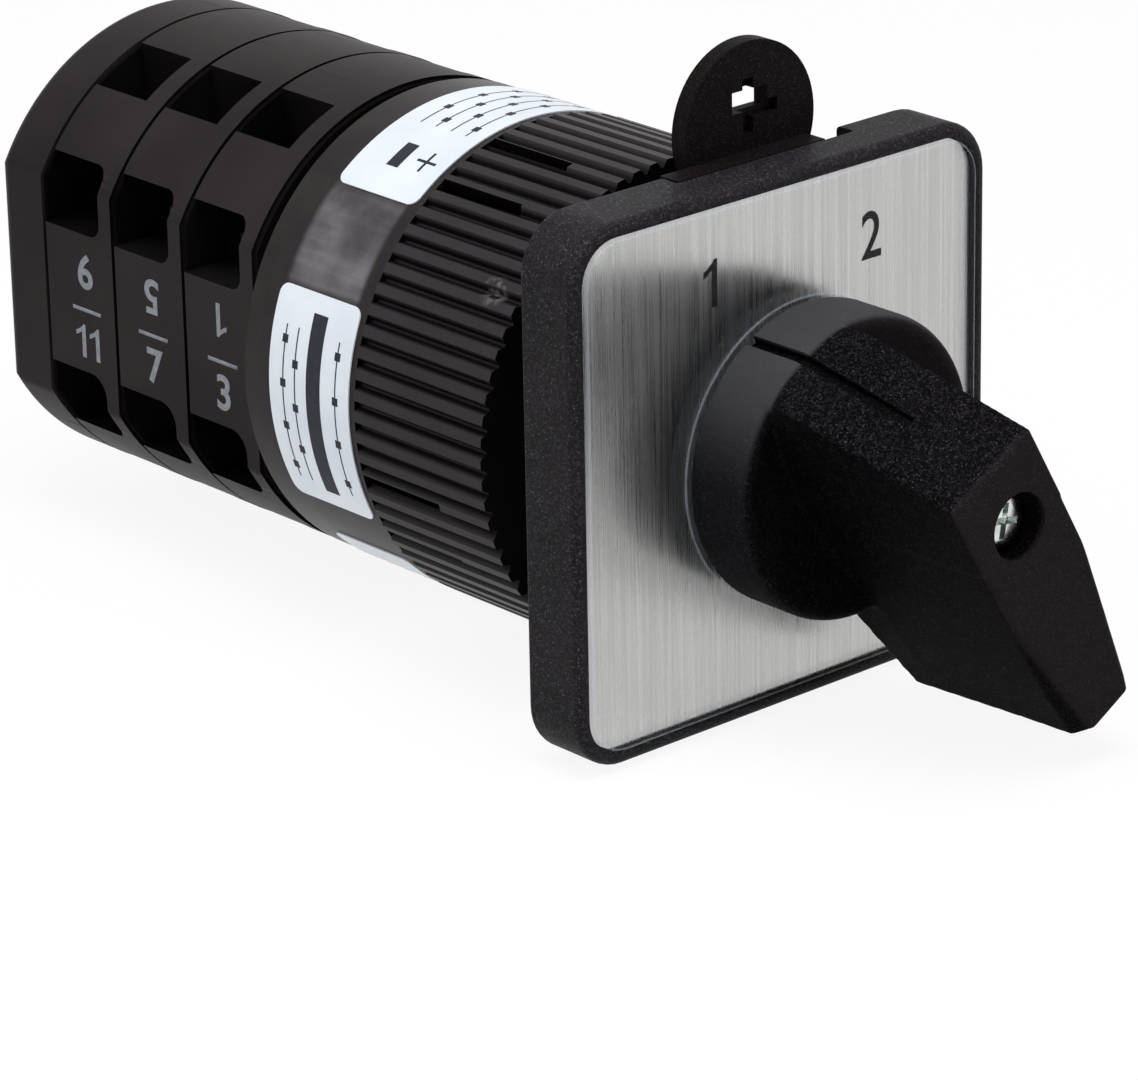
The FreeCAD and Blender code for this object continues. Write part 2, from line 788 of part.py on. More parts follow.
def stage_housing(number):
    """A cup, open at the rear: a web, a cam well, plunger channels, contact pockets and wire holes."""
    front = stage_front(number)
    rear = front + s.stage_pitch
    over = rear + 1
    plate = flatted("stage_plate", stage_radius, flat_distance, (front + s.joint_width, rear))
    neck = flatted("stage_neck", stage_radius - s.joint_depth, flat_distance - s.joint_depth,
                   (front, front + s.joint_width))
    web = front + s.web_thick
    pocket_front = front + s.opening_front
    half_channel = s.channel_width / 2
    half_pocket = s.bridge_pocket_width / 2
    tools = [rod("cam_well", s.cam_well_radius, (web, over)),
             rod("web_hole", s.collar_bearing_radius, (front - 1, over)),
             box("plunger_channel", (-half_channel, half_channel), (web, over),
                 (-channel_top, channel_top))]
    for level in (-1, 1):
        low, high = sorted((s.ledge_height * level, s.bridge_pocket_top * level), key=lambda a: a.value)
        tools.append(box("bridge_pocket", (-half_pocket, half_pocket), (pocket_front, over), (low, high)))
    reach = flat_distance + 1
    for side in (-1, 1):
        mouth = sorted((s.ledge_end * side, reach * side), key=lambda a: a.value)
        inner = sorted((s.pocket_inner * side, (s.ledge_end + 1) * side), key=lambda a: a.value)
        driver = sorted((s.driver_low * side, s.driver_high * side), key=lambda a: a.value)
        tools += wire_opening("upper_wire_hole", mouth, (pocket_front, over),
                              (s.upper_opening_low, s.upper_opening_high), s.opening_corner)
        tools += lower_wire_opening("lower_wire_hole", mouth, (pocket_front, over),
                                    (-s.lower_opening_high, -s.lower_opening_low))
        tools.append(box("upper_terminal_pocket", inner, (pocket_front, over),
                         (s.ledge_height, s.terminal_pocket_top)))
        tools.append(box("lower_terminal_pocket", inner, (pocket_front, over),
                         (-s.terminal_pocket_top, -s.ledge_height)))
        tools.append(box("upper_driver_hole", driver, (front + s.driver_front, over),
                         (s.bridge_pocket_top, stage_radius + 1)))
        tools.append(box("lower_driver_hole", driver, (front + s.driver_front, over),
                         (-(stage_radius + 1), -s.bridge_pocket_top)))
        tools.append(rod("tie_bolt_hole", s.bolt_radius + s.bolt_fit, (front - 1, over),
                         bolt_distance * side))
    piece(cut(f"stage_{number}_cut", fused("stage_block", plate, neck), *tools),
          f"stage_housing_{number}")


def rear_cover():
    body_front, body_rear = stages_end, cover_end
    neck = flatted("cover_neck", stage_radius - s.joint_depth, flat_distance - s.joint_depth,
                   (body_front, body_front + s.joint_width))
    plain = flatted("cover_plain", stage_radius, flat_distance,
                    (body_front + s.joint_width, body_rear))
    doc.recompute()
    edges = [(i + 1, s.rear_cover_round.value, s.rear_cover_round.value)
             for i, edge in enumerate(plain.Shape.Edges) if edge.BoundBox.YMin > body_rear.value - 0.01]
    rounded = doc.addObject("Part::Fillet", "cover_rounded")
    rounded.Base = plain
    rounded.Edges = edges
    tools = [rod("journal_hole", s.journal_radius + s.bearing_fit,
                 (body_front - 1, body_front + s.journal_hole_depth))]
    for side in (-1, 1):
        tools.append(rod("cover_bolt_hole", s.bolt_radius + s.bolt_fit, (body_front - 1, body_rear + 1),
                         bolt_distance * side))
        tools.append(rod("cover_bolt_seat", s.bolt_head_radius + s.bolt_fit * 3,
                         (body_rear - s.bolt_head_depth, body_rear + 1), bolt_distance * side))
    piece(cut("rear_cover_cut", fused("cover_block", rounded, neck), *tools), "rear_cover")


def tie_bolts():
    """Two long screws from the rear cover into the adapter's bosses."""
    seat = cover_end - s.bolt_head_depth
    bolts = []
    for side in (-1, 1):
        shank = rod("bolt_shank", s.bolt_radius, (stage_start - s.bolt_engagement, seat),
                    bolt_distance * side)
        head = rod("bolt_head", s.bolt_head_radius, (seat, seat + s.bolt_head_height),
                   bolt_distance * side)
        top = seat + s.bolt_head_height
        half_width, half_length = s.cross_width / 2, s.cross_length / 2
        middle = bolt_distance * side
        cross = [box("bolt_cross", (middle - a, middle + a), (top - s.cross_depth, top + 1), (-b, b))
                 for a, b in ((half_width, half_length), (half_length, half_width))]
        bolts.append(cut("tie_bolt", fused("bolt_blank", shank, head), *cross))
    group = doc.addObject("Part::Compound", "tie_bolt_pair")
    group.Links = bolts
    piece(group, "tie_bolts")


# Terminals: numbers run as on the housing, odd on the left, even on the right

def terminal_points():
    """Each terminal's number, stage, side (-1 left, 1 right) and level (1 upper, -1 lower)."""
    for stage in (1, 2, 3):
        for level, offset in ((1, 1), (-1, 3)):
            for side, step in ((-1, 0), (1, 1)):
                yield 4 * (stage - 1) + offset + step, stage, side, level


def fixed_contact(number, stage, side, level):
    """A brass strip on the housing's ledge, with a contact rivet at its inner end."""
    half = s.strip_half_width
    strip = box("contact_strip", (s.strip_inner, s.strip_outer), (-half, half),
                (s.ledge_height, strip_level))
    rivet = post("contact_rivet", s.contact_radius, (strip_level - s.strip_thick / 2, fixed_contact_level),
                 s.contact_distance)
    thread = post("contact_thread", s.screw_radius + s.screw_fit, (s.ledge_height - 1, strip_level + 1),
                  s.screw_distance)
    contact = cut(f"contact_{number}_cut", fused("contact_blank", strip, rivet), thread)
    turn = contact_turn(side, level)
    contact.Placement = Placement(Vector(), turn)
    bind(contact, "Placement.Base.y", stage_middle(stage))
    piece(contact, f"fixed_contact_{number:02d}")


def contact_turn(side, level):
    """Turns a piece made at the upper right to its own quarter of the stage."""
    upright = Rotation() if side == 1 else Rotation(Vector(0, 0, 1), HALF_TURN)
    flip = Rotation() if level == 1 else Rotation(Vector(1, 0, 0), HALF_TURN)
    return flip.multiply(upright)


def terminal_group(node, master):
    """Copies of one small piece at all twelve terminals, as one group."""
    doc.recompute()
    copies = []
    for number, stage, side, level in terminal_points():
        copy = master.Shape.copy()
        base = Vector(0, stage_middle(stage).value, 0)
        copy.Placement = Placement(base, contact_turn(side, level))
        copies.append(copy)
    group = doc.addObject("Part::Feature", f"{node}_group")
    group.Shape = Part.makeCompound(copies)
    piece(group, node)


def terminal_screws():
    seat = strip_level + s.wire_gap + s.clamp_thick
    top = seat + s.screw_head_height
    shank = post("screw_shank", s.screw_radius, (s.ledge_height + s.screw_fit, seat), s.screw_distance)
    head = post("screw_head", s.screw_head_radius, (seat, top), s.screw_distance)
    half_width, half_length = s.cross_width / 2, s.cross_length / 2
    middle = s.screw_distance
    slots = [box("screw_slot", (middle - s.screw_head_radius, middle + s.screw_head_radius),
                 (-s.screw_slot_width / 2, s.screw_slot_width / 2), (top - s.screw_slot_depth, top + 1)),
             box("screw_cross", (middle - half_width, middle + half_width), (-half_length, half_length),
                 (top - s.cross_depth, top + 1))]
    terminal_group("terminal_screws", cut("screw_master", fused("screw_blank", shank, head), *slots))


def clamp_plates():
    low = strip_level + s.wire_gap
    middle = s.screw_distance
    plate = box("clamp_plate", (middle - s.clamp_half_length, middle + s.clamp_half_length - s.cover_fit),
                (-s.clamp_half_width, s.clamp_half_width), (low, low + s.clamp_thick))
    hole = post("clamp_hole", s.screw_radius + s.screw_fit, (low - 1, low + s.clamp_thick + 1), middle)
    terminal_group("clamp_plates", cut("clamp_master", plate, hole))


# Moving contacts: in position 1 the upper pair of each stage is closed and the lower one is open

def contact_place(item, stage, level):
    """Upper pieces stay as made; lower ones are turned over and pushed out by the stroke."""
    item.Placement = Placement(Vector(), Rotation(Vector(0, 1, 0), 0.0 if level == 1 else HALF_TURN))
    bind(item, "Placement.Base.y", stage_middle(stage))
    bind(item, "Placement.Base.z", ZERO if level == 1 else -s.stroke)
    return item


def plunger(stage, level, node):
    body = new_body(node)
    half = s.plunger_half_width
    tip = s.cam_low_radius + s.cam_gap
    shoulder = tip + half - s.plunger_tip_half
    front = sketch_on(body, "XZ_Plane", s.plunger_half_depth)
    outline(front, [(-s.plunger_tip_half, tip), (s.plunger_tip_half, tip), (half, shoulder),
                    (half, s.plunger_top), (-half, s.plunger_top), (-half, shoulder)])
    pad(body, front, s.plunger_half_depth * 2)
    window = sketch_on(body, "YZ_Plane", -half)
    depth = s.bridge_half_width + s.plunger_fit
    outline(window, [(-depth, bridge_level), (depth, bridge_level), (depth, s.plunger_window_top),
                     (-depth, s.plunger_window_top)])
    through = body.newObject("PartDesign::Pocket", f"{node}_window")
    through.Profile = window
    through.Reversed = True
    bind(through, "Length", half * 2)
    bore = sketch_on(body, "XY_Plane", s.plunger_top)
    circle(bore, s.spring_radius + s.spring_wire / 2 + s.spring_bore_clear)
    spring_way = body.newObject("PartDesign::Pocket", f"{node}_spring_way")
    spring_way.Profile = bore
    bind(spring_way, "Length", s.plunger_top - bridge_level - s.bridge_thick)
    contact_place(body, stage, level)


def contact_bridge(stage, level, node):
    bar = box("bridge_bar", (-s.bridge_half_length, s.bridge_half_length),
              (-s.bridge_half_width, s.bridge_half_width), (bridge_level, bridge_level + s.bridge_thick))
    rivets = [post("bridge_rivet", s.contact_radius,
                   (bridge_level - s.contact_height, bridge_level + s.bridge_thick / 2),
                   s.contact_distance * side) for side in (-1, 1)]
    piece(contact_place(fused(f"{node}_whole", bar, *rivets), stage, level), node)


def contact_spring(stage, level, node):
    """A coil between the bridge and the housing's outer wall, pressed shorter when the bridge is out."""
    squeeze = ZERO if level == 1 else s.stroke
    low = bridge_level + s.bridge_thick + squeeze + s.spring_wire / 2 + s.seat_gap
    high = spring_seat - s.spring_wire / 2 - s.seat_gap
    turns = (spring_seat - bridge_level - s.bridge_thick) / s.spring_pitch
    coil = doc.addObject("Part::Helix", f"{node}_line")
    bind(coil, "Radius", s.spring_radius)
    bind(coil, "Height", high - low)
    bind(coil, "Pitch", (high - low) / turns)
    bind(coil, "Placement.Base.z", low)
    wire = doc.addObject("Part::Circle", f"{node}_wire")
    wire.Placement = Placement(Vector(), Rotation(Vector(1, 0, 0), 90))
    bind(wire, "Radius", s.spring_wire / 2)
    bind(wire, "Placement.Base.x", s.spring_radius)
    bind(wire, "Placement.Base.z", low)
    spring = doc.addObject("Part::Sweep", f"{node}_sweep")
    spring.Sections = [wire]
    spring.Spine = (coil, [])
    spring.Solid = True
    spring.Frenet = True
    spring.Placement = Placement(Vector(), Rotation(Vector(0, 1, 0), 0.0 if level == 1 else HALF_TURN))
    bind(spring, "Placement.Base.y", stage_middle(stage))
    piece(spring, node)


# Rotor: shaft, index wheel, stop disc and cams, all on one square

def square_bore(name, y):
    half = s.shaft_square / 2 + s.square_fit
    return box(name, (-half, half), (as_size(y[0]) - 1, as_size(y[1]) + 1), (-half, half))


def shaft():
    half = s.shaft_square / 2
    end = stages_end - s.square_fit * 4
    bar = box("shaft_bar", (-half, half), (-s.shaft_front, end), (-half, half))
    collar = rod("shaft_collar", s.collar_bearing_radius, (-s.collar_bearing_front, s.collar_bearing_rear))
    journal = rod("shaft_journal", s.journal_radius, (end - 1, end + s.journal_length))
    bore = rod("shaft_screw_bore", s.knob_screw_radius + s.bearing_fit,
               (-s.shaft_front - 1, -s.shaft_front + s.knob_screw_length))
    piece(cut("shaft_cut", fused("shaft_blank", bar, collar, journal), bore), "shaft")


def index_wheel():
    y = (s.wheel_start, s.wheel_start + s.wheel_thick)
    disc = rod("wheel_disc", wheel_radius, y)
    tools = [square_bore("wheel_bore", y)]
    count = int(s.wheel_notch_count.value)
    for i in range(count):
        notch = rod("wheel_notch", s.wheel_notch_radius, (y[0] - 1, y[1] + 1), 0, wheel_notch_distance)
        tools.append(swung("wheel_notch_turned", notch, 360.0 * i / count))
    piece(cut("index_wheel_cut", disc, *tools), "index_wheel")


def detent_spring(level, node):
    """A flat spring whose bent nose sits in a notch of the index wheel."""
    body = new_body(node)
    half = s.detent_thick / 2
    start = s.wheel_start + (s.wheel_thick - s.detent_width) / 2
    front = sketch_on(body, "XZ_Plane", -start)
    centre = [(-detent_half_length, detent_level), (-s.detent_nose_half, detent_level),
              (ZERO, detent_tip), (s.detent_nose_half, detent_level),
              (detent_half_length, detent_level)]
    outer = [(x, z + half) for x, z in centre]
    inner = [(x, z - half) for x, z in reversed(centre)]
    outline(front, outer + inner)
    pad(body, front, s.detent_width)
    body.Placement = Placement(Vector(), Rotation(Vector(0, 1, 0), 0.0 if level == 1 else HALF_TURN))


def stop_disc():
    y = (s.stop_start, s.stop_start + s.stop_thick)
    disc = rod("stop_round", stop_disc_radius, y)
    middle = -s.rest_angle
    lug = sector("stop_lug", stop_lug_radius, y, middle - s.stop_lug_half_angle,
                 middle + s.stop_lug_half_angle)
    piece(cut("stop_disc_cut", fused("stop_blank", disc, lug), square_bore("stop_bore", y)), "stop_disc")


def cam_shape(low, high, turn, half_thick):
    """A cam with two even spiral ramps, each as long as the knob's turn, so that lift follows turn.

    Angles are counted from the top towards +X. The top follower starts at the low end of one ramp
    and the bottom follower at the high end of the other.
    """
    def point(radius, degrees):
        angle = math.radians(degrees)
        return Vector(radius * math.sin(angle), -half_thick, radius * math.cos(angle))

    def arc(radius, start, end):
        middle = (start + end) / 2
        return Part.Arc(point(radius, start), point(radius, middle), point(radius, end)).toShape()

    def ramp(start, end, from_radius, to_radius):
        steps = 12
        points = [point(from_radius + (to_radius - from_radius) * i / steps,
                        start + (end - start) * i / steps) for i in range(steps + 1)]
        curve = Part.BSplineCurve()
        curve.interpolate(points)
        return curve.toShape()

    edges = [arc(low, 0, HALF_TURN - turn), ramp(HALF_TURN - turn, HALF_TURN, low, high),
             arc(high, HALF_TURN, 360 - turn), ramp(360 - turn, 360, high, low)]
    face = Part.Face(Part.Wire(edges))
    return face.extrude(Vector(0, 2 * half_thick, 0))


def cam_disc(stage):
    profile = doc.addObject("Part::Feature", f"cam_{stage}_profile")
    profile.Shape = cam_shape(s.cam_low_radius.value, cam_high_radius.value, s.turn_angle.value,
                              s.cam_half_thick.value)
    bore = square_bore("cam_bore", (-s.cam_half_thick, s.cam_half_thick))
    cam = cut(f"cam_{stage}_cut", profile, bore)
    bind(cam, "Placement.Base.y", stage_middle(stage))
    piece(cam, f"cam_disc_{stage}")


# Knob: made pointing up, then turned to position 1

def knob():
    half = s.grip_half_width
    plan = doc.addObject("Sketcher::SketchObject", "grip_plan")
    plan.Placement = Placement(Vector(), Rotation(Vector(1, 0, 0), 90))
    grip_plan(plan)
    plan_solid = extrusion("grip_plan_solid", plan, Vector(0, -1, 0), s.knob_front + 1)
    side = doc.addObject("Sketcher::SketchObject", "grip_side")
    side.Placement = Placement(Vector(), Rotation(Vector(1, 1, 1), 120))
    wall = -(s.knob_wall_height - knob_back)
    outline(side, [(-s.grip_under_depth, s.knob_radius), (wall, s.knob_radius), (-s.knob_front, s.ramp_top),
                   (-s.knob_front, -s.grip_end_top), (-s.grip_end_depth, -s.grip_end_low),
                   (-s.grip_under_depth, -s.knob_radius)])
    side_solid = extrusion("grip_side_solid", side, Vector(1, 0, 0), half * 4, both=True)
    grip = shared("grip", plan_solid, side_solid)
    base_face = knob_back - s.knob_base_height
    plain = rod("knob_base", s.knob_radius, (base_face, knob_back))
    doc.recompute()
    rim = [(i + 1, s.knob_rim_round.value, s.knob_rim_round.value)
           for i, edge in enumerate(plain.Shape.Edges) if edge.BoundBox.YMax < base_face.value + 0.01]
    base = doc.addObject("Part::Fillet", "knob_base_rounded")
    base.Base = plain
    base.Edges = rim
    dish = doc.addObject("Part::Sphere", "knob_dish")
    bind(dish, "Radius", s.dish_radius)
    bind(dish, "Placement.Base.y", knob_back - s.dish_floor - s.dish_radius)
    blank = fused("knob_blank", cut("knob_base_dished", base, dish), grip)
    socket_end = -(s.shaft_front + s.square_fit * 2)
    socket_half = s.shaft_square / 2 + s.square_fit
    socket = box("knob_socket", (-socket_half, socket_half), (socket_end, ZERO), (-socket_half, socket_half))
    seat = -(s.knob_front - s.knob_screw_hole_depth)
    screw_way = rod("knob_screw_way", s.knob_screw_radius + s.bearing_fit, (seat - 1, ZERO))
    counterbore = rod("knob_counterbore", s.knob_screw_hole_radius, (-(s.knob_front + 1), seat))
    mark = index_mark(wall)
    pointer = swung("knob_pointer", cut("knob_marked", blank, screw_way, counterbore, mark),
                    -s.rest_angle.value)
    piece(cut("knob_cut", pointer, socket), "knob")


def grip_plan(sketch):
    """The grip seen from the front: an arc at the pointer, straight flanks, then a taper to the end."""
    half, end_half = s.grip_half_width.value, s.grip_end_half_width.value
    radius, end = s.knob_radius.value, s.grip_end_low.value
    corner = math.sqrt(radius ** 2 - half ** 2)
    start, mid = s.grip_taper_start.value, s.grip_taper_mid.value
    mid_half = s.grip_taper_mid_half.value
    flat_end = end + 1
    curves = [Part.Arc(Vector(half, corner), Vector(0, radius), Vector(-half, corner)),
              Part.LineSegment(Vector(-half, corner), Vector(-half, -start)),
              Part.Arc(Vector(-half, -start), Vector(-mid_half, -mid), Vector(-end_half, -end)),
              Part.LineSegment(Vector(-end_half, -end), Vector(-end_half, -flat_end)),
              Part.LineSegment(Vector(-end_half, -flat_end), Vector(end_half, -flat_end)),
              Part.LineSegment(Vector(end_half, -flat_end), Vector(end_half, -end)),
              Part.Arc(Vector(end_half, -end), Vector(mid_half, -mid), Vector(half, -start)),
              Part.LineSegment(Vector(half, -start), Vector(half, corner))]
    for curve in curves:
        sketch.addGeometry(curve, False)


def extrusion(name, sketch, direction, length, both=False):
    item = doc.addObject("Part::Extrusion", name)
    item.Base = sketch
    item.DirMode = "Custom"
    item.Dir = direction
    item.Solid = True
    item.Symmetric = both
    bind(item, "LengthFwd", length)
    return item


def index_mark(wall):
    """The groove that points at the numeral: up the base's wall, then along the ramp."""
    side = doc.addObject("Sketcher::SketchObject", "index_side")
    side.Placement = Placement(Vector(), Rotation(Vector(1, 1, 1), 120))
    slope = (s.knob_radius - s.ramp_top) / (s.knob_front + wall)
    end_radius = s.knob_radius - (s.index_end + wall) * slope
    above = s.index_depth * 4
    outline(side, [(knob_back + 1, s.knob_radius - s.index_depth), (wall, s.knob_radius - s.index_depth),
                   (-s.index_end, end_radius - s.index_ramp_depth), (-s.index_end, end_radius + above),
                   (wall, s.knob_radius + above), (knob_back + 1, s.knob_radius + above)])
    return extrusion("index_groove", side, Vector(1, 0, 0), s.index_width, both=True)


def knob_screw():
    seat = -(s.knob_front - s.knob_screw_hole_depth)
    top = seat - s.knob_screw_head_height
    head = rod("knob_screw_head", s.knob_screw_head_radius, (top, seat))
    shank = rod("knob_screw_shank", s.knob_screw_radius, (seat - 1, seat + s.knob_screw_length))
    half_width, half_length = s.cross_width / 2, s.cross_length / 2
    cross = [box("knob_screw_cross", (-a, a), (top - 1, top + s.cross_depth), (-b, b))
             for a, b in ((half_width, half_length), (half_length, half_width))]
    screw = cut("knob_screw_cut", fused("knob_screw_blank", head, shank), *cross)
    screw.Placement = Placement(Vector(), Rotation(Vector(0, 1, 0), -s.rest_angle.value))
    piece(screw, "knob_screw")


front_frame()
inlay_plate()
clear_cover()
panel_gasket()
mounting_neck()
lock_lever()
clamp_ring()
adapter_housing()
labels()
for stage_number in (1, 2, 3):
    stage_housing(stage_number)
    cam_disc(stage_number)
    for contact_level, word in ((1, "upper"), (-1, "lower")):
        plunger(stage_number, contact_level, f"plunger_{stage_number}_{word}")
        contact_bridge(stage_number, contact_level, f"contact_bridge_{stage_number}_{word}")
        contact_spring(stage_number, contact_level, f"contact_spring_{stage_number}_{word}")
rear_cover()
tie_bolts()
for terminal in terminal_points():
    fixed_contact(*terminal)
terminal_screws()
clamp_plates()
shaft()
index_wheel()
detent_spring(1, "detent_spring_top")
detent_spring(-1, "detent_spring_bottom")
stop_disc()
knob()
knob_screw()

doc.recompute()
faults = [item.Name for item in doc.Objects if "Invalid" in item.State or "Error" in item.State]
if faults:
    raise SystemExit(f"these objects failed: {faults}")
for item in PIECES:
    if item.Shape.isNull() or not item.Shape.isValid() or not item.Shape.Solids:
        raise SystemExit(f"{item.Label} has no valid solid")
for item in PIECES:
    item.Shape.exportStep(f"parts/{item.Label}.step")
print(f"{len(PIECES)} pieces written")
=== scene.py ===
import math

import bmesh
import bpy
from mathutils import Matrix, Quaternion, Vector

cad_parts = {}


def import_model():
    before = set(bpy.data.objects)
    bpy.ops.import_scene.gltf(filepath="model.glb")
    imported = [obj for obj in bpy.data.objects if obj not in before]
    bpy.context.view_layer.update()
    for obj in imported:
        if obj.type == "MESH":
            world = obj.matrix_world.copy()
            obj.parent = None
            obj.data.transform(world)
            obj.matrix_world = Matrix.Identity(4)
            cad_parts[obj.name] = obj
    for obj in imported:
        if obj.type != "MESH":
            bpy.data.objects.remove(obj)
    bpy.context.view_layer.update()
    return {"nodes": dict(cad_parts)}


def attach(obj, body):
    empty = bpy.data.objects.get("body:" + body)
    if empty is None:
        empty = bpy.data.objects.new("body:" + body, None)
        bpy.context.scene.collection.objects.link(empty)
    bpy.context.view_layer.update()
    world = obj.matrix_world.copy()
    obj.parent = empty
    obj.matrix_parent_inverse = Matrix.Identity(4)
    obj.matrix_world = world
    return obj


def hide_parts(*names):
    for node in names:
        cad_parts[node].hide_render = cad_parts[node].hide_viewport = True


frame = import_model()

NODES = frame["nodes"]

# Sizes in millimetres: the shaft lies along Y, with the knob at -Y and the frame's rear face at 0

MM = 0.001
UPRIGHT = Matrix.Rotation(math.radians(90), 4, "X")
REST_TURN = math.radians(30)

FRAME_HALF = 24
FRAME_CORNER = 5
FRAME_FRONT = -6.5
FRAME_LIP = 1.3
COVER_HALF = 22.62
COVER_CORNER = 3.7
COVER_BACK = -5.84
COVER_THICK = 0.86
PRINT_FACE = -5.806

KNOB_RADIUS = 13.4
KNOB_BACK = -8.9
KNOB_WALL_FRONT = -15.4
KNOB_FRONT = -34.0
GRIP_HALF = 5.05
RAMP_START = -15.2
RAMP_RUN = 18.8
RAMP_DROP = 6.9
SCREW_SEAT = -30.4

RING_CREST = 22.15
BAND_RADIUS = 21.95
BAND_END = 39.45
STAGES = (1, 2, 3)
STAGE_START = 40.8
STAGE_PITCH = 10.26
STAGE_JOINT = 0.43
STAGE_FLAT = 19.3
INSIDE_RADIUS = 21.3
FLOOR_LEVEL = -24.5


# Shader arithmetic

class Field:
    """A number that changes over a surface. Python's arithmetic on it adds Math nodes."""

    def __init__(self, finish, socket):
        self.finish = finish
        self.socket = socket

    def math(self, operation, first, second):
        return self.finish.node("ShaderNodeMath", {"operation": operation}, {0: first, 1: second})

    def __add__(self, other):
        return self.math("ADD", self, other)

    def __radd__(self, other):
        return self.math("ADD", other, self)

    def __sub__(self, other):
        return self.math("SUBTRACT", self, other)

    def __rsub__(self, other):
        return self.math("SUBTRACT", other, self)

    def __mul__(self, other):
        return self.math("MULTIPLY", self, other)

    def __rmul__(self, other):
        return self.math("MULTIPLY", other, self)

    def __truediv__(self, other):
        return self.math("DIVIDE", self, other)

    def root(self):
        return self.math("SQRT", self, 0.0)

    def between(self, low, high):
        """0 up to low, 1 from high, and a smooth rise between."""
        settings = {"interpolation_type": "SMOOTHSTEP"}
        sockets = {"Value": self, "From Min": low, "From Max": high}
        return self.finish.node("ShaderNodeMapRange", settings, sockets)


class Finish:
    """One material: a shader, its nodes, and the patterns that feed it."""

    def __init__(self, name, colour, roughness, metallic=0.0, **constants):
        self.material = bpy.data.materials.new(name)
        self.material.use_nodes = True
        self.tree = self.material.node_tree
        self.shader = self.tree.nodes["Principled BSDF"]
        self.inputs = self.shader.inputs
        self.inputs["Base Color"].default_value = (*colour, 1.0)
        self.inputs["Roughness"].default_value = roughness
        self.inputs["Metallic"].default_value = metallic
        for socket, value in constants.items():
            self.inputs[socket.replace("_", " ")].default_value = value
        self.coordinates = self.tree.nodes.new("ShaderNodeTexCoord").outputs["Object"]

    def node(self, kind, settings, sockets, output=0):
        """Adds a node: its settings first, then the values or links of its sockets."""
        item = self.tree.nodes.new(kind)
        for key, value in settings.items():
            setattr(item, key, value)
        for key, value in sockets.items():
            if isinstance(value, Field):
                self.tree.links.new(value.socket, item.inputs[key])
            elif isinstance(value, bpy.types.NodeSocket):
                self.tree.links.new(value, item.inputs[key])
            else:
                item.inputs[key].default_value = value
        return Field(self, item.outputs[output])

    def place(self):
        """The place along X, Y and Z, in millimetres."""
        return [self.node("ShaderNodeSeparateXYZ", {}, {"Vector": self.coordinates}, index) / MM
                for index in range(3)]

    def noise(self, scale, detail):
        return self.node("ShaderNodeTexNoise", {},
                         {"Vector": self.coordinates, "Scale": scale, "Detail": detail})

    def streaks(self, scales, detail):
        """Noise drawn out along the axes with the smaller scales."""
        vector = self.node("ShaderNodeMapping", {}, {"Vector": self.coordinates, "Scale": scales})
        return self.node("ShaderNodeTexNoise", {}, {"Vector": vector, "Scale": 1.0, "Detail": detail})

    def cells(self, scale):
        """Small round grains: the distance from each one's middle, and two random numbers each."""
        sockets = {"Vector": self.coordinates, "Scale": scale}
        distance = self.node("ShaderNodeTexVoronoi", {}, sockets, "Distance")
        colour = distance.socket.node.outputs["Color"]
        lots = [self.node("ShaderNodeSeparateColor", {}, {"Color": colour}, index) for index in (0, 1)]
        return distance, *lots

    def mixed(self, factor, first, second):
        """A colour between two others."""
        item = self.tree.nodes.new("ShaderNodeMix")
        item.data_type = "RGBA"
        self.tree.links.new(factor.socket, item.inputs[0])
        for index, value in ((6, first), (7, second)):
            if isinstance(value, tuple):
                item.inputs[index].default_value = (*value, 1.0)
            else:
                self.tree.links.new(value, item.inputs[index])
        return item.outputs[2]

    def set(self, name, value):
        self.tree.links.new(value.socket if isinstance(value, Field) else value, self.inputs[name])

    def bump(self, height, depth):
        """Raises the surface by depth millimetres where height is 1."""
        self.set("Normal", self.node("ShaderNodeBump", {}, {"Height": height, "Distance": depth * MM}))


# Finishes

FINE_GRAIN = 2600.0


def scaled(colour, factor, more=0.0):
    return tuple(part * factor + more for part in colour)


def pebbled(finish, base, broad, grain, depth, speckle_and_glint, roughness):
    """The grain of a spark-eroded mould: pebbles of uneven brightness, and a painted highlight, a pin-point
    glint, on a few.
    """
    pebble_grey, painted_glint_grey = (0.05, 0.046, 0.056), (0.17, 0.165, 0.19)
    pebbles, lot, chance = finish.cells(grain)
    # Painted highlight: a few pebbles get a bright glint colour and a lower roughness.
    painted_glint = chance.between(0.86, 0.99) * (1 - pebbles.between(0.2, 0.6))
    speckled = finish.mixed(lot * lot * lot * speckle_and_glint, base, pebble_grey)
    finish.set("Base Color", finish.mixed(painted_glint * speckle_and_glint, speckled, painted_glint_grey))
    finish.set("Roughness", roughness - 0.2 * painted_glint + (broad - 0.5) * 0.14)
    finish.bump((1 - pebbles) * 0.7 + finish.noise(grain * 0.5, 3.0) * 0.5, depth)
    return finish.material


def uneven(finish, broad, colour):
    return finish.mixed(broad.between(0.35, 0.7), colour, scaled(colour, 1.4, 0.001))


def grained_black(name, colour, grain, depth, speckle_and_glint, roughness, specular):
    """Moulded plastic with a fine grain and a few painted glints."""
    finish = Finish(name, colour, roughness, Specular_IOR_Level=specular)
    broad = finish.noise(90.0, 3.0)
    return pebbled(finish, uneven(finish, broad, colour), broad, grain, depth, speckle_and_glint, roughness)


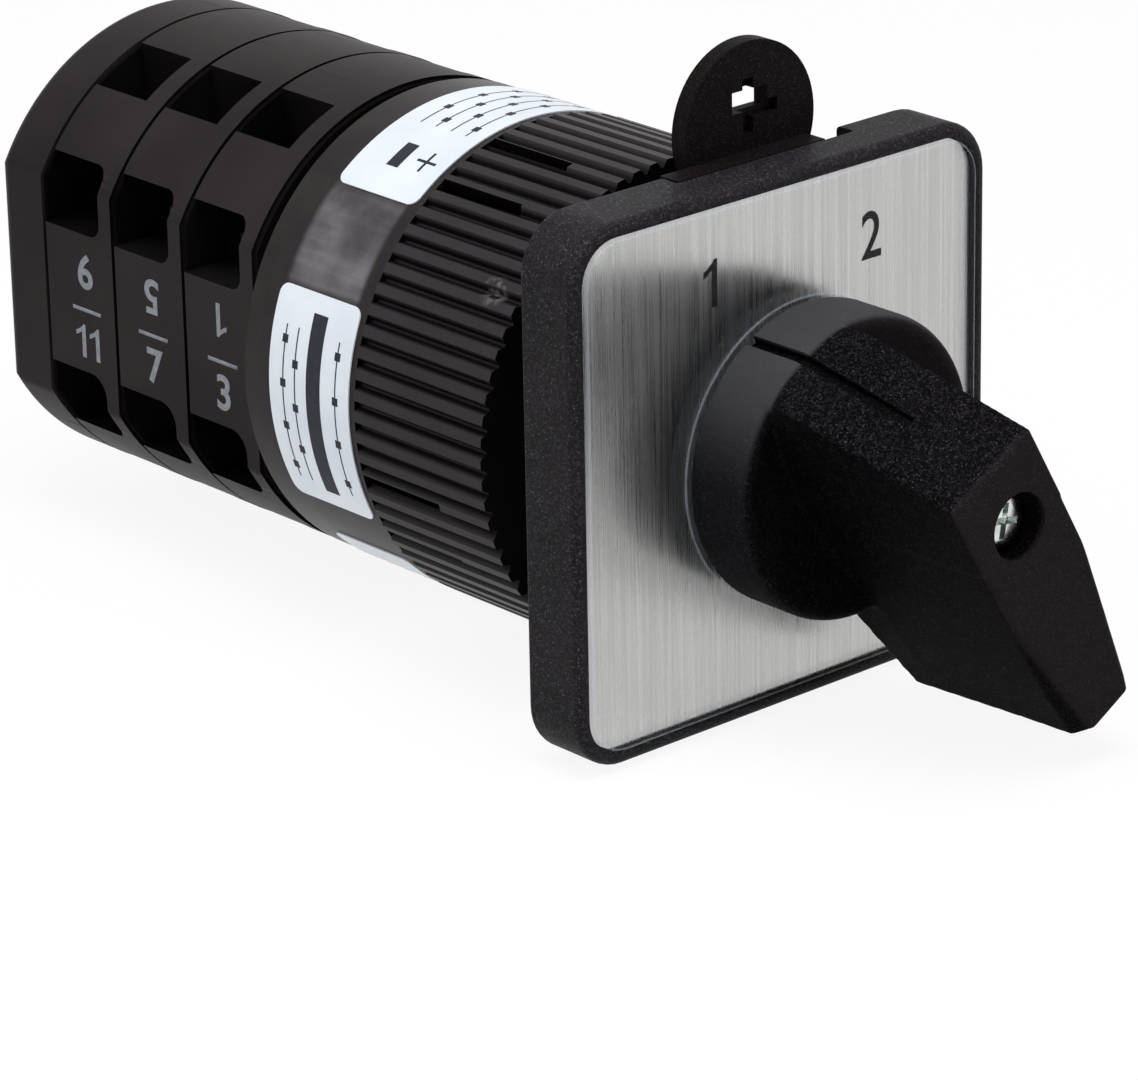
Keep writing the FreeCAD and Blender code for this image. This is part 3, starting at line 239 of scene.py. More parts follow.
def knob_plastic():
    """Grained plastic, more speckled on the ramp, the front face and the dish's right side paler as a
    painted highlight, the wall dull with dust and a painted highlight growing towards the top.
    """
    colour, painted_lit_grey, dust_and_highlight_grey = (0.0022, 0.002, 0.0021), (0.0125, 0.011, 0.0115), (0.052, 0.052, 0.057)
    grain, grain_depth, roughness = 6800.0, 0.03, 0.5
    wall_from, wall_full = 12.8, 13.3
    ramp_length = math.hypot(RAMP_RUN, RAMP_DROP)
    ramp_across, ramp_along = RAMP_RUN / ramp_length, RAMP_DROP / ramp_length
    finish = Finish("knob_black", colour, 0.52, Specular_IOR_Level=0.004)
    side, depth, level = finish.place()
    along = level * math.cos(REST_TURN) - side * math.sin(REST_TURN)
    across = side * math.cos(REST_TURN) + level * math.sin(REST_TURN)
    outside = (side * side + level * level).root().between(wall_from, wall_full)
    on_base = depth.between(-16.0, KNOB_WALL_FRONT)
    wall = outside * on_base
    off_ramp = (along - KNOB_RADIUS) * ramp_across - (depth - RAMP_START) * ramp_along
    # The ramp's stronger speckle and glints reach a little onto the flanks along its edges: a painted edge
    # highlight.
    ramp = off_ramp.between(-0.5, -0.15) * (1 - depth.between(-15.8, -15.0))
    # Painted highlight: the front face gets the paler grey.
    front = 1 - depth.between(-33.85, -33.3)
    # Painted highlight on the dish's right side only; its left side keeps the dark colour, as in shade.
    dish = on_base * across.between(5.0, 6.2) * (1 - outside)
    broad = finish.noise(90.0, 3.0)
    base = finish.mixed(front + dish, uneven(finish, broad, colour), painted_lit_grey)
    # Faint dust on the whole wall, and a painted highlight that grows towards the top.
    dust_and_painted_highlight = wall * (0.08 + level.between(0.0, 12.5) * (0.6 + broad * 0.6))
    base = finish.mixed(dust_and_painted_highlight, base, dust_and_highlight_grey)
    speckle_and_glint = 0.12 + ramp * 0.18 + wall * 0.05
    return pebbled(finish, base, broad, grain, grain_depth, speckle_and_glint, roughness)


def satin_plastic(name, colour, roughness, specular=0.3):
    """Smooth moulded plastic with a faint grain, flow marks and light scuffs."""
    finish = Finish(name, colour, roughness, Specular_IOR_Level=specular)
    flow = finish.noise(60.0, 4.0)
    worn = finish.streaks((900.0, 60.0, 400.0), 5.0).between(0.6, 0.8)
    finish.set("Base Color", finish.mixed(flow.between(0.3, 0.75), colour, scaled(colour, 1.35, 0.004)))
    finish.set("Roughness", roughness + (flow - 0.5) * 0.16 + worn * 0.1)
    finish.bump(finish.noise(FINE_GRAIN, 3.0) + worn * 0.25, 0.01)
    return finish.material


def worn_band():
    """The band's plastic, with a paler, duller patch between its upper two labels that paints a reflection.
    """
    colour, cloudy, painted_highlight_grey = (0.0125, 0.0102, 0.0105), (0.022, 0.018, 0.0185), (0.16, 0.155, 0.168)
    finish = Finish("band_black", colour, 0.36, Specular_IOR_Level=0.1)
    side, depth, level = finish.place()
    # Painted reflection: a paler, duller patch between the upper two labels, its strength carried by haze.
    along_band = depth.between(25.6, 26.4) * (1 - depth.between(34.9, 35.9))
    between_labels = level.between(8.8, 9.8) * (1 - level.between(16.2, 17.4))
    patch = along_band * between_labels * (1 - side.between(-1.0, 0.0))
    cloud = finish.noise(210.0, 5.0)
    streaks = finish.streaks((400.0, 60.0, 900.0), 4.0)
    haze = patch * (0.25 + cloud.between(0.3, 0.75) * 0.5 + streaks.between(0.4, 0.7) * 0.25)
    base = finish.mixed(cloud.between(0.3, 0.75), colour, cloudy)
    finish.set("Base Color", finish.mixed(haze, base, painted_highlight_grey))
    finish.set("Roughness", 0.34 + (cloud - 0.5) * 0.14 + haze * 0.25)
    finish.bump(finish.noise(FINE_GRAIN, 3.0), 0.01)
    return finish.material


def ribbed_black():
    """The clamp ring's plastic: a painted highlight on the ribs' crests, and a small scuff at the left."""
    colour, painted_highlight_grey, scuffed = (0.004, 0.0033, 0.0036), (0.028, 0.024, 0.027), (0.12, 0.113, 0.113)
    scuff_place = (-17.4, 10.8, 13.6)
    finish = Finish("ring_black", colour, 0.34, Specular_IOR_Level=0.08)
    side, depth, level = finish.place()
    radius = (side * side + level * level).root()
    cloud = finish.noise(160.0, 4.0)
    away_x, away_y, away_z = (axis - part for axis, part in zip((side, depth, level), scuff_place))
    away = away_x * away_x + away_y * away_y + away_z * away_z
    scuff = (1 - away.between(0.2, 2.8)) * finish.noise(1500.0, 4.0).between(0.42, 0.62)
    # Painted highlight along the ribs' crests.
    painted_crest_highlight = radius.between(RING_CREST - 0.42, RING_CREST - 0.05) * (0.6 + cloud * 0.6)
    finish.set("Base Color", finish.mixed(scuff, finish.mixed(painted_crest_highlight, colour, painted_highlight_grey), scuffed))
    finish.set("Roughness", 0.3 + cloud * 0.12)
    finish.bump(finish.noise(FINE_GRAIN, 3.0), 0.01)
    return finish.material


def brushed_silver():
    """Aluminium foil brushed from top to bottom, under a clear glossy cover."""
    dark, light = (0.5, 0.497, 0.495), (0.65, 0.647, 0.64)
    finish = Finish("brushed_silver", (0.52, 0.515, 0.51), 0.3, 1.0, Anisotropic=0.75)
    lines = finish.streaks((8200.0, 1.0, 50.0), 4.0)
    bands = finish.streaks((2800.0, 1.0, 22.0), 3.0)
    shade = lines * 0.5 + bands * 0.5
    finish.set("Base Color", finish.mixed(shade.between(0.2, 0.8), dark, light))
    finish.set("Roughness", 0.36 - shade.between(0.3, 0.7) * 0.15)
    finish.bump(lines, 0.011)
    return finish.material


def clear_plastic(name, alpha, colour):
    """A thin clear moulding that lets nearly all light through."""
    finish = Finish(name, colour, 0.05, Specular_IOR_Level=0.8)
    haze = finish.noise(120.0, 3.0)
    finish.set("Alpha", alpha + (haze - 0.5) * 0.02)
    finish.set("Roughness", 0.03 + haze * 0.06)
    return finish.material


def printed_paper():
    """A smooth white label, slightly cool, with a faint unevenness."""
    dull, bright = (0.64, 0.69, 0.76), (0.71, 0.76, 0.82)
    finish = Finish("label_paper", (0.74, 0.79, 0.86), 0.35, Coat_Weight=0.2, Coat_Roughness=0.25)
    cloud = finish.noise(140.0, 4.0)
    finish.set("Base Color", finish.mixed(cloud.between(0.3, 0.7), dull, bright))
    finish.set("Roughness", 0.3 + cloud * 0.14)
    finish.bump(finish.noise(900.0, 3.0), 0.008)
    return finish.material


def ink(name, colour, roughness=0.45):
    """Printing ink, a little patchy."""
    finish = Finish(name, colour, roughness, Specular_IOR_Level=0.1)
    patch = finish.noise(1500.0, 3.0)
    finish.set("Base Color", finish.mixed(patch.between(0.35, 0.75), colour, scaled(colour, 1.3, 0.002)))
    finish.set("Roughness", roughness + (patch - 0.5) * 0.2)
    return finish.material


def plated_metal(name, colour, roughness, drawn=False):
    """Metal with a mottled plating, and with fine marks along the shaft if it is drawn."""
    finish = Finish(name, colour, roughness, 1.0)
    mottle = finish.noise(800.0, 4.0)
    marks = finish.streaks((3000.0, 60.0, 3000.0), 4.0) if drawn else mottle
    finish.set("Base Color", finish.mixed(mottle.between(0.3, 0.7), scaled(colour, 0.72), colour))
    finish.set("Roughness", roughness + (mottle - 0.5) * 0.2)
    finish.bump(marks, 0.01)
    return finish.material


FRAME_BLACK = grained_black("frame_black", (0.007, 0.006, 0.0065), 6400.0, 0.03, 0.5, 0.5, 0.06)
KNOB_BLACK = knob_plastic()
# Painted shade: a near-black for faces inside openings, in the ring's bore, behind the band and in the
# joints.
PAINTED_SHADE_BLACK = satin_plastic("painted_shade_black", (0.0012, 0.0011, 0.0011), 0.8, 0.02)
LEVER_BLACK = grained_black("lever_black", (0.0036, 0.0024, 0.0023), 6800.0, 0.015, 0.12, 0.5, 0.03)
HOUSING_BLACK = satin_plastic("housing_black", (0.0135, 0.0105, 0.011), 0.42, 0.05)
RING_BLACK = ribbed_black()
BAND_BLACK = worn_band()
SILVER = brushed_silver()
CLEAR = clear_plastic("clear_cover", 0.03, (0.12, 0.125, 0.13))
# Painted sheen and painted highlight: copies of the clear plastic, greyer on the walls and pale on the
# bevelled rims.
CLEAR_WALL_SHEEN = clear_plastic("clear_cover_wall_sheen", 0.06, (0.3, 0.32, 0.35))
CLEAR_EDGE_HIGHLIGHT = clear_plastic("clear_cover_edge_highlight", 0.2, (0.55, 0.62, 0.7))
PAPER = printed_paper()
BLACK_INK = ink("numeral_ink", (0.006, 0.006, 0.0065))
LABEL_INK = ink("label_ink", (0.02, 0.022, 0.03))
PALE_INK = ink("terminal_number_ink", (0.2, 0.21, 0.235), 0.6)
ZINC = plated_metal("zinc_plate", (0.78, 0.82, 0.8), 0.16)
STEEL = plated_metal("drawn_steel", (0.56, 0.55, 0.53), 0.32, drawn=True)
BRASS = plated_metal("contact_brass", (0.78, 0.6, 0.3), 0.3)
RUBBER = satin_plastic("gasket_rubber", (0.006, 0.006, 0.006), 0.7, 0.15)
WHITE_PLASTIC = satin_plastic("plunger_white", (0.62, 0.61, 0.57), 0.4)
CAM_GREY = satin_plastic("cam_grey", (0.2, 0.2, 0.21), 0.36)

NODE_FINISHES = {
    "panel_gasket": RUBBER, "mounting_neck": HOUSING_BLACK, "inlay_plate": SILVER, "tie_bolts": ZINC,
    "terminal_screws": ZINC, "clamp_plates": ZINC, "shaft": STEEL, "index_wheel": CAM_GREY,
    "stop_disc": CAM_GREY, "detent_spring_top": STEEL, "detent_spring_bottom": STEEL,
}
for number in range(1, 4 * len(STAGES) + 1):
    NODE_FINISHES[f"fixed_contact_{number:02d}"] = BRASS
for stage in STAGES:
    NODE_FINISHES[f"cam_disc_{stage}"] = CAM_GREY
    for row in ("upper", "lower"):
        NODE_FINISHES[f"plunger_{stage}_{row}"] = WHITE_PLASTIC
        NODE_FINISHES[f"contact_bridge_{stage}_{row}"] = BRASS
        NODE_FINISHES[f"contact_spring_{stage}_{row}"] = STEEL
for node, material in NODE_FINISHES.items():
    for index in range(len(NODES[node].data.materials)):
        NODES[node].data.materials[index] = material


# Making pieces

def meshed(name, bm):
    mesh = bpy.data.meshes.new(name)
    bm.to_mesh(mesh)
    bm.free()
    return mesh


def added(name, data):
    """A new object in the scene."""
    item = bpy.data.objects.new(name, data)
    bpy.context.scene.collection.objects.link(item)
    return item


def smoothed(mesh, sharp_above=None):
    """Smooth shading, but for the edges above an angle in degrees where one is given."""
    mesh.shade_smooth()
    if sharp_above is not None:
        mesh.set_sharp_from_angle(angle=math.radians(sharp_above))


def piece(name, bm, materials, body, node=None, sharp_above=None):
    """Turns a bmesh into an object that rides on a body, and stands for a node if one is given."""
    item = added(name, meshed(name, bm))
    for material in materials:
        item.data.materials.append(material)
    smoothed(item.data, sharp_above)
    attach(item, body)
    if node:
        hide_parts(node)
    return item


def weighted(item):
    """Flat faces stay flat in the shading beside their rounded edges."""
    item.modifiers.new("weighted_normals", "WEIGHTED_NORMAL").keep_sharp = True


def dressed(node, materials, body, width, segments, inner=None):
    """A node's own shape with its edges rounded off; the faces that inner names get the second material."""
    merging, flat_within, edge_from = 0.002 * MM, math.radians(0.6), math.radians(32)
    bm = bmesh.new()
    bm.from_mesh(NODES[node].data)
    bmesh.ops.remove_doubles(bm, verts=bm.verts, dist=merging)
    bmesh.ops.dissolve_limit(bm, angle_limit=flat_within, verts=bm.verts, edges=bm.edges)
    edges = [e for e in bm.edges if e.is_manifold and e.calc_face_angle() > edge_from]
    bmesh.ops.bevel(bm, geom=edges, offset=width * MM, offset_type="OFFSET", segments=segments, profile=0.5,
                    affect="EDGES", clamp_overlap=True, material=-1)
    for face in bm.faces:
        face.material_index = 1 if inner and inner(face.calc_center_median() / MM) else 0
    weighted(piece(f"{node}_moulding", bm, materials, body, node, sharp_above=40))


def settle(item):
    """Applies the item's modifiers."""
    bpy.context.view_layer.update()
    evaluated = item.evaluated_get(bpy.context.evaluated_depsgraph_get())
    mesh = bpy.data.meshes.new_from_object(evaluated)
    item.modifiers.clear()
    old = item.data
    item.data = mesh
    bpy.data.meshes.remove(old)


def loose(name, bm):
    """A helper shape that is used up by a cut or a join."""
    bmesh.ops.recalc_face_normals(bm, faces=bm.faces)
    return added(name, meshed(name, bm))


def cut_away(item, name, bm):
    """Takes a shape out of the item."""
    cutter = loose(name, bm)
    modifier = item.modifiers.new("cut", "BOOLEAN")
    modifier.operation = "DIFFERENCE"
    modifier.solver = "EXACT"
    modifier.object = cutter
    settle(item)
    bpy.data.objects.remove(cutter)


def block(x, y, z):
    """A box from its limits along each axis, in millimetres."""
    bm = bmesh.new()
    size = [(high - low) * MM for low, high in (x, y, z)]
    middle = [(high + low) / 2 * MM for low, high in (x, y, z)]
    place = Matrix.Translation(middle) @ Matrix.Diagonal((*size, 1.0))
    bmesh.ops.create_cube(bm, size=1.0, matrix=place)
    return bm


def bar(radius, y, segments):
    """A round bar on the shaft's axis, in millimetres."""
    bm = bmesh.new()
    place = Matrix.Translation((0, (y[0] + y[1]) / 2 * MM, 0)) @ UPRIGHT
    bmesh.ops.create_cone(bm, cap_ends=True, segments=segments, radius1=radius * MM, radius2=radius * MM,
                          depth=(y[1] - y[0]) * MM, matrix=place)
    return bm


def rounded(bm, geometry, width, segments, kind="EDGES"):
    bmesh.ops.bevel(bm, geom=geometry, offset=width, segments=segments, profile=0.5, affect=kind,
                    material=-1)


def extruded(bm, faces, vector):
    """Pulls faces out along a vector, and gives back the faces that moved."""
    grown = bmesh.ops.extrude_face_region(bm, geom=faces)["geom"]
    moved = [item for item in grown if isinstance(item, bmesh.types.BMVert)]
    bmesh.ops.translate(bm, verts=moved, vec=vector)
    return [item for item in grown if isinstance(item, bmesh.types.BMFace)]


def sliced(bm, point, normal):
    """Cuts off what lies on the normal's side of a plane, and closes the cut."""
    geometry = bm.verts[:] + bm.edges[:] + bm.faces[:]
    result = bmesh.ops.bisect_plane(bm, geom=geometry, plane_co=Vector(point) * MM,
                                    plane_no=Vector(normal).normalized(), clear_outer=True)
    rim = [item for item in result["geom_cut"] if isinstance(item, bmesh.types.BMEdge)]
    if rim:
        bmesh.ops.edgenet_fill(bm, edges=rim)


def edges_in_front(bm, depth):
    """The edges that lie in front of a depth along the shaft, in millimetres."""
    return [e for e in bm.edges if all(v.co.y < depth * MM for v in e.verts)]


# Front frame

def front_frame():
    straight = (FRAME_HALF - FRAME_CORNER) * MM
    seat = 1.0
    bm = bmesh.new()
    bmesh.ops.create_grid(bm, x_segments=1, y_segments=1, size=FRAME_HALF * MM, matrix=UPRIGHT)
    rounded(bm, bm.verts[:], FRAME_CORNER * MM, 10, "VERTICES")
    front = extruded(bm, bm.faces[:], (0, FRAME_FRONT * MM, 0))
    bmesh.ops.inset_region(bm, faces=front, thickness=FRAME_LIP * MM, use_even_offset=True)
    extruded(bm, front, (0, seat * MM, 0))
    bmesh.ops.delete(bm, geom=front, context="FACES")
    bmesh.ops.recalc_face_normals(bm, faces=bm.faces)

    def on_rim(vert, depth, radius):
        """Whether a point lies at a depth, and so far out from the square that the corners turn about."""
        reach = math.hypot(max(abs(vert.co.x) - straight, 0), max(abs(vert.co.z) - straight, 0)) / MM
        return abs(vert.co.y - depth * MM) < 1e-6 and abs(reach - radius) < 0.1

    rims = ((FRAME_FRONT, FRAME_CORNER, 0.8, 4), (FRAME_FRONT, FRAME_CORNER - FRAME_LIP, 0.3, 3),
            (0.0, FRAME_CORNER, 0.45, 3))
    for depth, radius, width, segments in rims:
        edges = [e for e in bm.edges if all(on_rim(v, depth, radius) for v in e.verts)]
        rounded(bm, edges, width * MM, segments)
    item = piece("front_frame_moulding", bm, [FRAME_BLACK], "housing", "front_frame")
    recess_floor, past_rear, past_front = -2.2, 1.0, -7.0
    cut_away(item, "frame_recess", bar(18.4, (recess_floor, past_rear), 96))
    cut_away(item, "frame_hole", bar(5.8, (past_front, past_rear), 96))
    notch = block((-8.3, 12.3), (recess_floor, past_rear), (14.4, FRAME_HALF + 1.0))
    rounded(notch, notch.edges[:], 0.3 * MM, 2)
    cut_away(item, "frame_notch", notch)
    smoothed(item.data, 38)
    weighted(item)


# Clear cover with its bevelled rim and the collar round the knob

def clear_cover():
    bm = bmesh.new()
    place = Matrix.Translation((0, COVER_BACK * MM, 0)) @ UPRIGHT
    bmesh.ops.create_grid(bm, x_segments=1, y_segments=1, size=COVER_HALF * MM, matrix=place)
    rounded(bm, bm.verts[:], COVER_CORNER * MM, 8, "VERTICES")
    extruded(bm, bm.faces[:], (0, -COVER_THICK * MM, 0))
    bmesh.ops.recalc_face_normals(bm, faces=bm.faces)
    rounded(bm, edges_in_front(bm, -6.6), 0.25 * MM, 2)
    # The bevelled rim gets the painted highlight and the side walls the painted sheen.
    for face in bm.faces:
        facing = abs(face.normal.y)
        face.material_index = 0 if facing > 0.98 else 2 if facing > 0.3 else 1
    piece("clear_cover_sheet", bm, [CLEAR, CLEAR_WALL_SHEEN, CLEAR_EDGE_HIGHLIGHT], "housing", "clear_cover",
          sharp_above=30)


def clear_collar():
    inner, outer, back, front, chamfer = 12.2, 13.6, -6.7, -8.6, 0.14
    corners = [(inner, back), (inner, front), (outer - chamfer, front), (outer, front + chamfer),
               (outer, back)]
    bm = bmesh.new()
    verts = [bm.verts.new((radius * MM, depth * MM, 0)) for radius, depth in corners]
    edges = [bm.edges.new(pair) for pair in zip(verts, verts[1:])]
    bmesh.ops.spin(bm, geom=verts + edges, cent=(0, 0, 0), axis=(0, 1, 0), angle=math.tau, steps=128,
                   use_merge=True)
    bmesh.ops.remove_doubles(bm, verts=bm.verts, dist=0.001 * MM)
    bmesh.ops.recalc_face_normals(bm, faces=bm.faces)
    # The chamfer gets the painted highlight and the walls the painted sheen.
    for face in bm.faces:
        face.material_index = 1 if 0.3 < abs(face.normal.y) < 0.9 else 0
    piece("clear_collar", bm, [CLEAR_WALL_SHEEN, CLEAR_EDGE_HIGHLIGHT], "housing", None, sharp_above=30)


# Printing

def figure_one():
    """The numeral 1 with its flag, one unit high, its corners in the order that a pen draws them."""
    corners = [(0.2, -0.5), (0.2, 0.5), (0.11, 0.5), (0.06, 0.44), (-0.03, 0.37), (-0.13, 0.31),
               (-0.23, 0.27), (-0.23, 0.13), (-0.1, 0.19), (0.03, 0.28), (0.03, -0.5)]
    bm = bmesh.new()
    bm.faces.new([bm.verts.new((x, y, 0)) for x, y in corners])
    return bm


def font_figure(sign, weight):
    """A character of Blender's own plain font, one unit high, with thicker strokes."""
    height_of_capitals = 0.7
    curve = bpy.data.curves.new("figure", "FONT")
    curve.body = sign
    curve.align_x = "CENTER"
    curve.align_y = "CENTER"
    curve.size = 1 / height_of_capitals
    curve.offset = weight
    text = added("figure", curve)
    bpy.context.view_layer.update()
    mesh = bpy.data.meshes.new_from_object(text.evaluated_get(bpy.context.evaluated_depsgraph_get()))
    bm = bmesh.new()
    bm.from_mesh(mesh)
    bpy.data.objects.remove(text)
    bpy.data.meshes.remove(mesh)
    bmesh.ops.remove_doubles(bm, verts=bm.verts, dist=0.0005)
    return bm


def printed(name, number, height, material, place, width, weight):
    """One printed number, a hair's breadth thick, standing on the plane that place gives."""
    thickness, spacing = 0.004, 0.62
    signs = str(number)
    for index, sign in enumerate(signs):
        bm = figure_one() if sign == "1" else font_figure(sign, weight)
        extruded(bm, bm.faces[:], (0, 0, thickness))
        shift = (index - (len(signs) - 1) / 2) * spacing
        bmesh.ops.transform(bm, matrix=Matrix.Translation((shift, 0, 0)), verts=bm.verts)
        size = Matrix.Diagonal((width * height * MM, height * MM, height * MM, 1.0))
        bmesh.ops.transform(bm, matrix=place @ size, verts=bm.verts)
        bmesh.ops.recalc_face_normals(bm, faces=bm.faces)
        piece(f"{name}_{index + 1}", bm, [material], "housing", sharp_above=20)


def numerals():
    for number, x, z in ((1, -7.92, 15.97), (2, 10.78, 15.67)):
        place = Matrix.Translation((x * MM, PRINT_FACE * MM, z * MM)) @ UPRIGHT
        printed(f"position_numeral_{number}", number, 4.2, BLACK_INK, place, width=0.86, weight=0.012)


def terminal_numbers():
    """Odd numbers on the left flat and even ones on the right, the upper row upside down."""
    upper_level, lower_level, height, lift = 2.7, -4.3, 3.2, 0.005
    dash_half, dash_levels, dash_thickness = 2.1, (-1.4, -1.05), 0.02
    no_turn, half_turn = Matrix.Identity(4), Matrix.Rotation(math.radians(180), 4, "Z")
    for stage, into in zip(STAGES, (5.2, 5.0, 4.6)):
        y = STAGE_START + STAGE_PITCH * (stage - 1) + into
        for side, upper, lower in ((-1, 4 * stage - 3, 4 * stage - 1), (1, 4 * stage - 2, 4 * stage)):
            face = Matrix.Rotation(math.radians(90 * side), 4, "Z") @ UPRIGHT
            x = side * (STAGE_FLAT + lift)
            for number, z, turn in ((upper, upper_level, half_turn), (lower, lower_level, no_turn)):
                place = Matrix.Translation((x * MM, y * MM, z * MM)) @ face @ turn
                printed(f"terminal_number_{number:02d}", number, height, PALE_INK, place, 1.03, 0.03)
            thickness = sorted((side * STAGE_FLAT, side * (STAGE_FLAT + dash_thickness)))
            dash = block(thickness, (y - dash_half, y + dash_half), dash_levels)
            piece(f"terminal_dash_{upper:02d}", dash, [PALE_INK], "housing")


# Knob, modelled pointing up and then turned to its first position

def grip_pointer():
    """The short end of the grip: round like the base, with a ramp that falls towards its front."""
    bm = bar(KNOB_RADIUS, (KNOB_FRONT, KNOB_BACK), 160)
    for side in (1, -1):
        sliced(bm, (side * GRIP_HALF, 0, 0), (side, 0, 0))
    sliced(bm, (0, 0, -1.5), (0, 0, -1))
    sliced(bm, (0, RAMP_START, KNOB_RADIUS), (0, -RAMP_DROP, RAMP_RUN))
    return bm


def grip_tail():
    """The long end of the grip, which narrows in curves and has bevelled faces at its end and sides."""
    tail_back = -9.5
    corners = [(GRIP_HALF, 3.0), (GRIP_HALF, -3.0), (4.72, -13.0), (3.35, -24.8)]
    plan = corners + [(-q, p) for q, p in reversed(corners)]
    bm = bmesh.new()
    verts = [bm.verts.new((q * MM, tail_back * MM, p * MM)) for q, p in plan]
    bm.faces.new(verts)
    bends = [v for v in verts if -14 * MM < v.co.z < -2 * MM]
    rounded(bm, bends, 4.6 * MM, 8, "VERTICES")
    extruded(bm, bm.faces[:], (0, (KNOB_FRONT - tail_back) * MM, 0))
    bmesh.ops.recalc_face_normals(bm, faces=bm.faces)
    sliced(bm, (0, KNOB_FRONT, -22.6), (0, -1.8, -21.1))
    sliced(bm, (0, -12.9, -24.4), (0, 11.4, -2.5))
    for side in (-1, 1):
        sliced(bm, (side * GRIP_HALF, KNOB_FRONT, -5.0), (side * 1.0, -0.9, -0.16))
        sliced(bm, (side * 4.7, KNOB_FRONT, -13.0), (side * 1.0, -0.45, -0.17))
    return bm


def dished_base():
    dish_radius, dish_middle = 27.4, -39.9
    base = bar(KNOB_RADIUS, (KNOB_WALL_FRONT, KNOB_BACK), 160)
    rounded(base, edges_in_front(base, -15), 0.9 * MM, 5)
    body = loose("knob_blank", base)
    dish = bmesh.new()
    place = Matrix.Translation((0, dish_middle * MM, 0)) @ UPRIGHT
    bmesh.ops.create_uvsphere(dish, u_segments=128, v_segments=128, radius=dish_radius * MM, matrix=place)
    cut_away(body, "knob_dish", dish)
    return body


def index_groove():
    """The groove that marks the position: along the wall, and up the ramp to its end."""
    half_width, wall_floor, past_wall, back = 0.55, 12.5, 15.0, -8.0
    groove_end, ramp_floor, past_ramp = -26.1, 0.55, 1.5
    ramp_level = KNOB_RADIUS - (RAMP_START - groove_end) * (RAMP_DROP / RAMP_RUN)
    profile = [(wall_floor, back), (wall_floor, RAMP_START), (ramp_level - ramp_floor, groove_end),
               (ramp_level + past_ramp, groove_end), (past_wall, RAMP_START), (past_wall, back)]
    bm = bmesh.new()
    bm.faces.new([bm.verts.new((-half_width * MM, y * MM, p * MM)) for p, y in profile])
    extruded(bm, bm.faces[:], (2 * half_width * MM, 0, 0))
    return bm


def knob():
    """A round base with a dished face, and a long grip across it, joined in one skin."""
    voxel = 0.24
    body = dished_base()
    joined = bmesh.new()
    joined.from_mesh(body.data)
    bpy.data.objects.remove(body)
    for part in (grip_pointer(), grip_tail()):
        bmesh.ops.recalc_face_normals(part, faces=part.faces)
        mesh = meshed("grip_part", part)
        joined.from_mesh(mesh)
        bpy.data.meshes.remove(mesh)
    item = loose("knob_body", joined)
    remesh = item.modifiers.new("one_skin", "REMESH")
    remesh.mode = "VOXEL"
    remesh.voxel_size = voxel * MM
    smooth = item.modifiers.new("soft_edges", "SMOOTH")
    smooth.factor = 0.5
    smooth.iterations = 5
    settle(item)
    cut_away(item, "index_groove", index_groove())
    cut_away(item, "screw_recess", bar(2.95, (-35.0, SCREW_SEAT), 96))
    cut_away(item, "knob_socket", bar(4.3, (-27.3, -8.0), 64))

    mesh = item.data
    mesh.materials.clear()
    mesh.materials.append(KNOB_BLACK)
    mesh.transform(Matrix.Rotation(-REST_TURN, 4, "Y"))
    smoothed(mesh, 50)
    item.name = "knob_grip"
    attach(item, "rotor")
    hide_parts("knob")


def knob_screw():
    head_front, slot_floor, slot_half = -32.2, -31.0, (1.55, 0.32)
    head = bar(2.45, (head_front, SCREW_SEAT), 64)
    rounded(head, edges_in_front(head, -32), 0.5 * MM, 4)
    item = piece("knob_screw_head", head, [ZINC], "rotor", "knob_screw")
    for turn in (10, 100):
        slot = block((-slot_half[0], slot_half[0]), (KNOB_FRONT, slot_floor), (-slot_half[1], slot_half[1]))
        floor_edges = [e for e in slot.edges if all(v.co.y > -32 * MM for v in e.verts)]
        rounded(slot, floor_edges, 0.25 * MM, 2)
        turned = Matrix.Rotation(math.radians(turn), 3, "Y")
        bmesh.ops.rotate(slot, verts=slot.verts, cent=(0, 0, 0), matrix=turned)
        cut_away(item, "screw_cross", slot)
    piece("knob_screw_shank", bar(1.25, (-30.5, -21.4), 48), [ZINC], "rotor", None)
    smoothed(item.data, 35)


# Labels, bent round the band

def bent(bm, angle, depth):
    """Lays a flat shape on the band: X runs round it from the given angle, Y along it, Z off it."""
    for vert in bm.verts:
        turn = angle + vert.co.x / BAND_RADIUS
        reach = BAND_RADIUS + vert.co.z
        vert.co = Vector((reach * math.sin(turn), depth + vert.co.y, reach * math.cos(turn))) * MM
    bmesh.ops.recalc_face_normals(bm, faces=bm.faces)


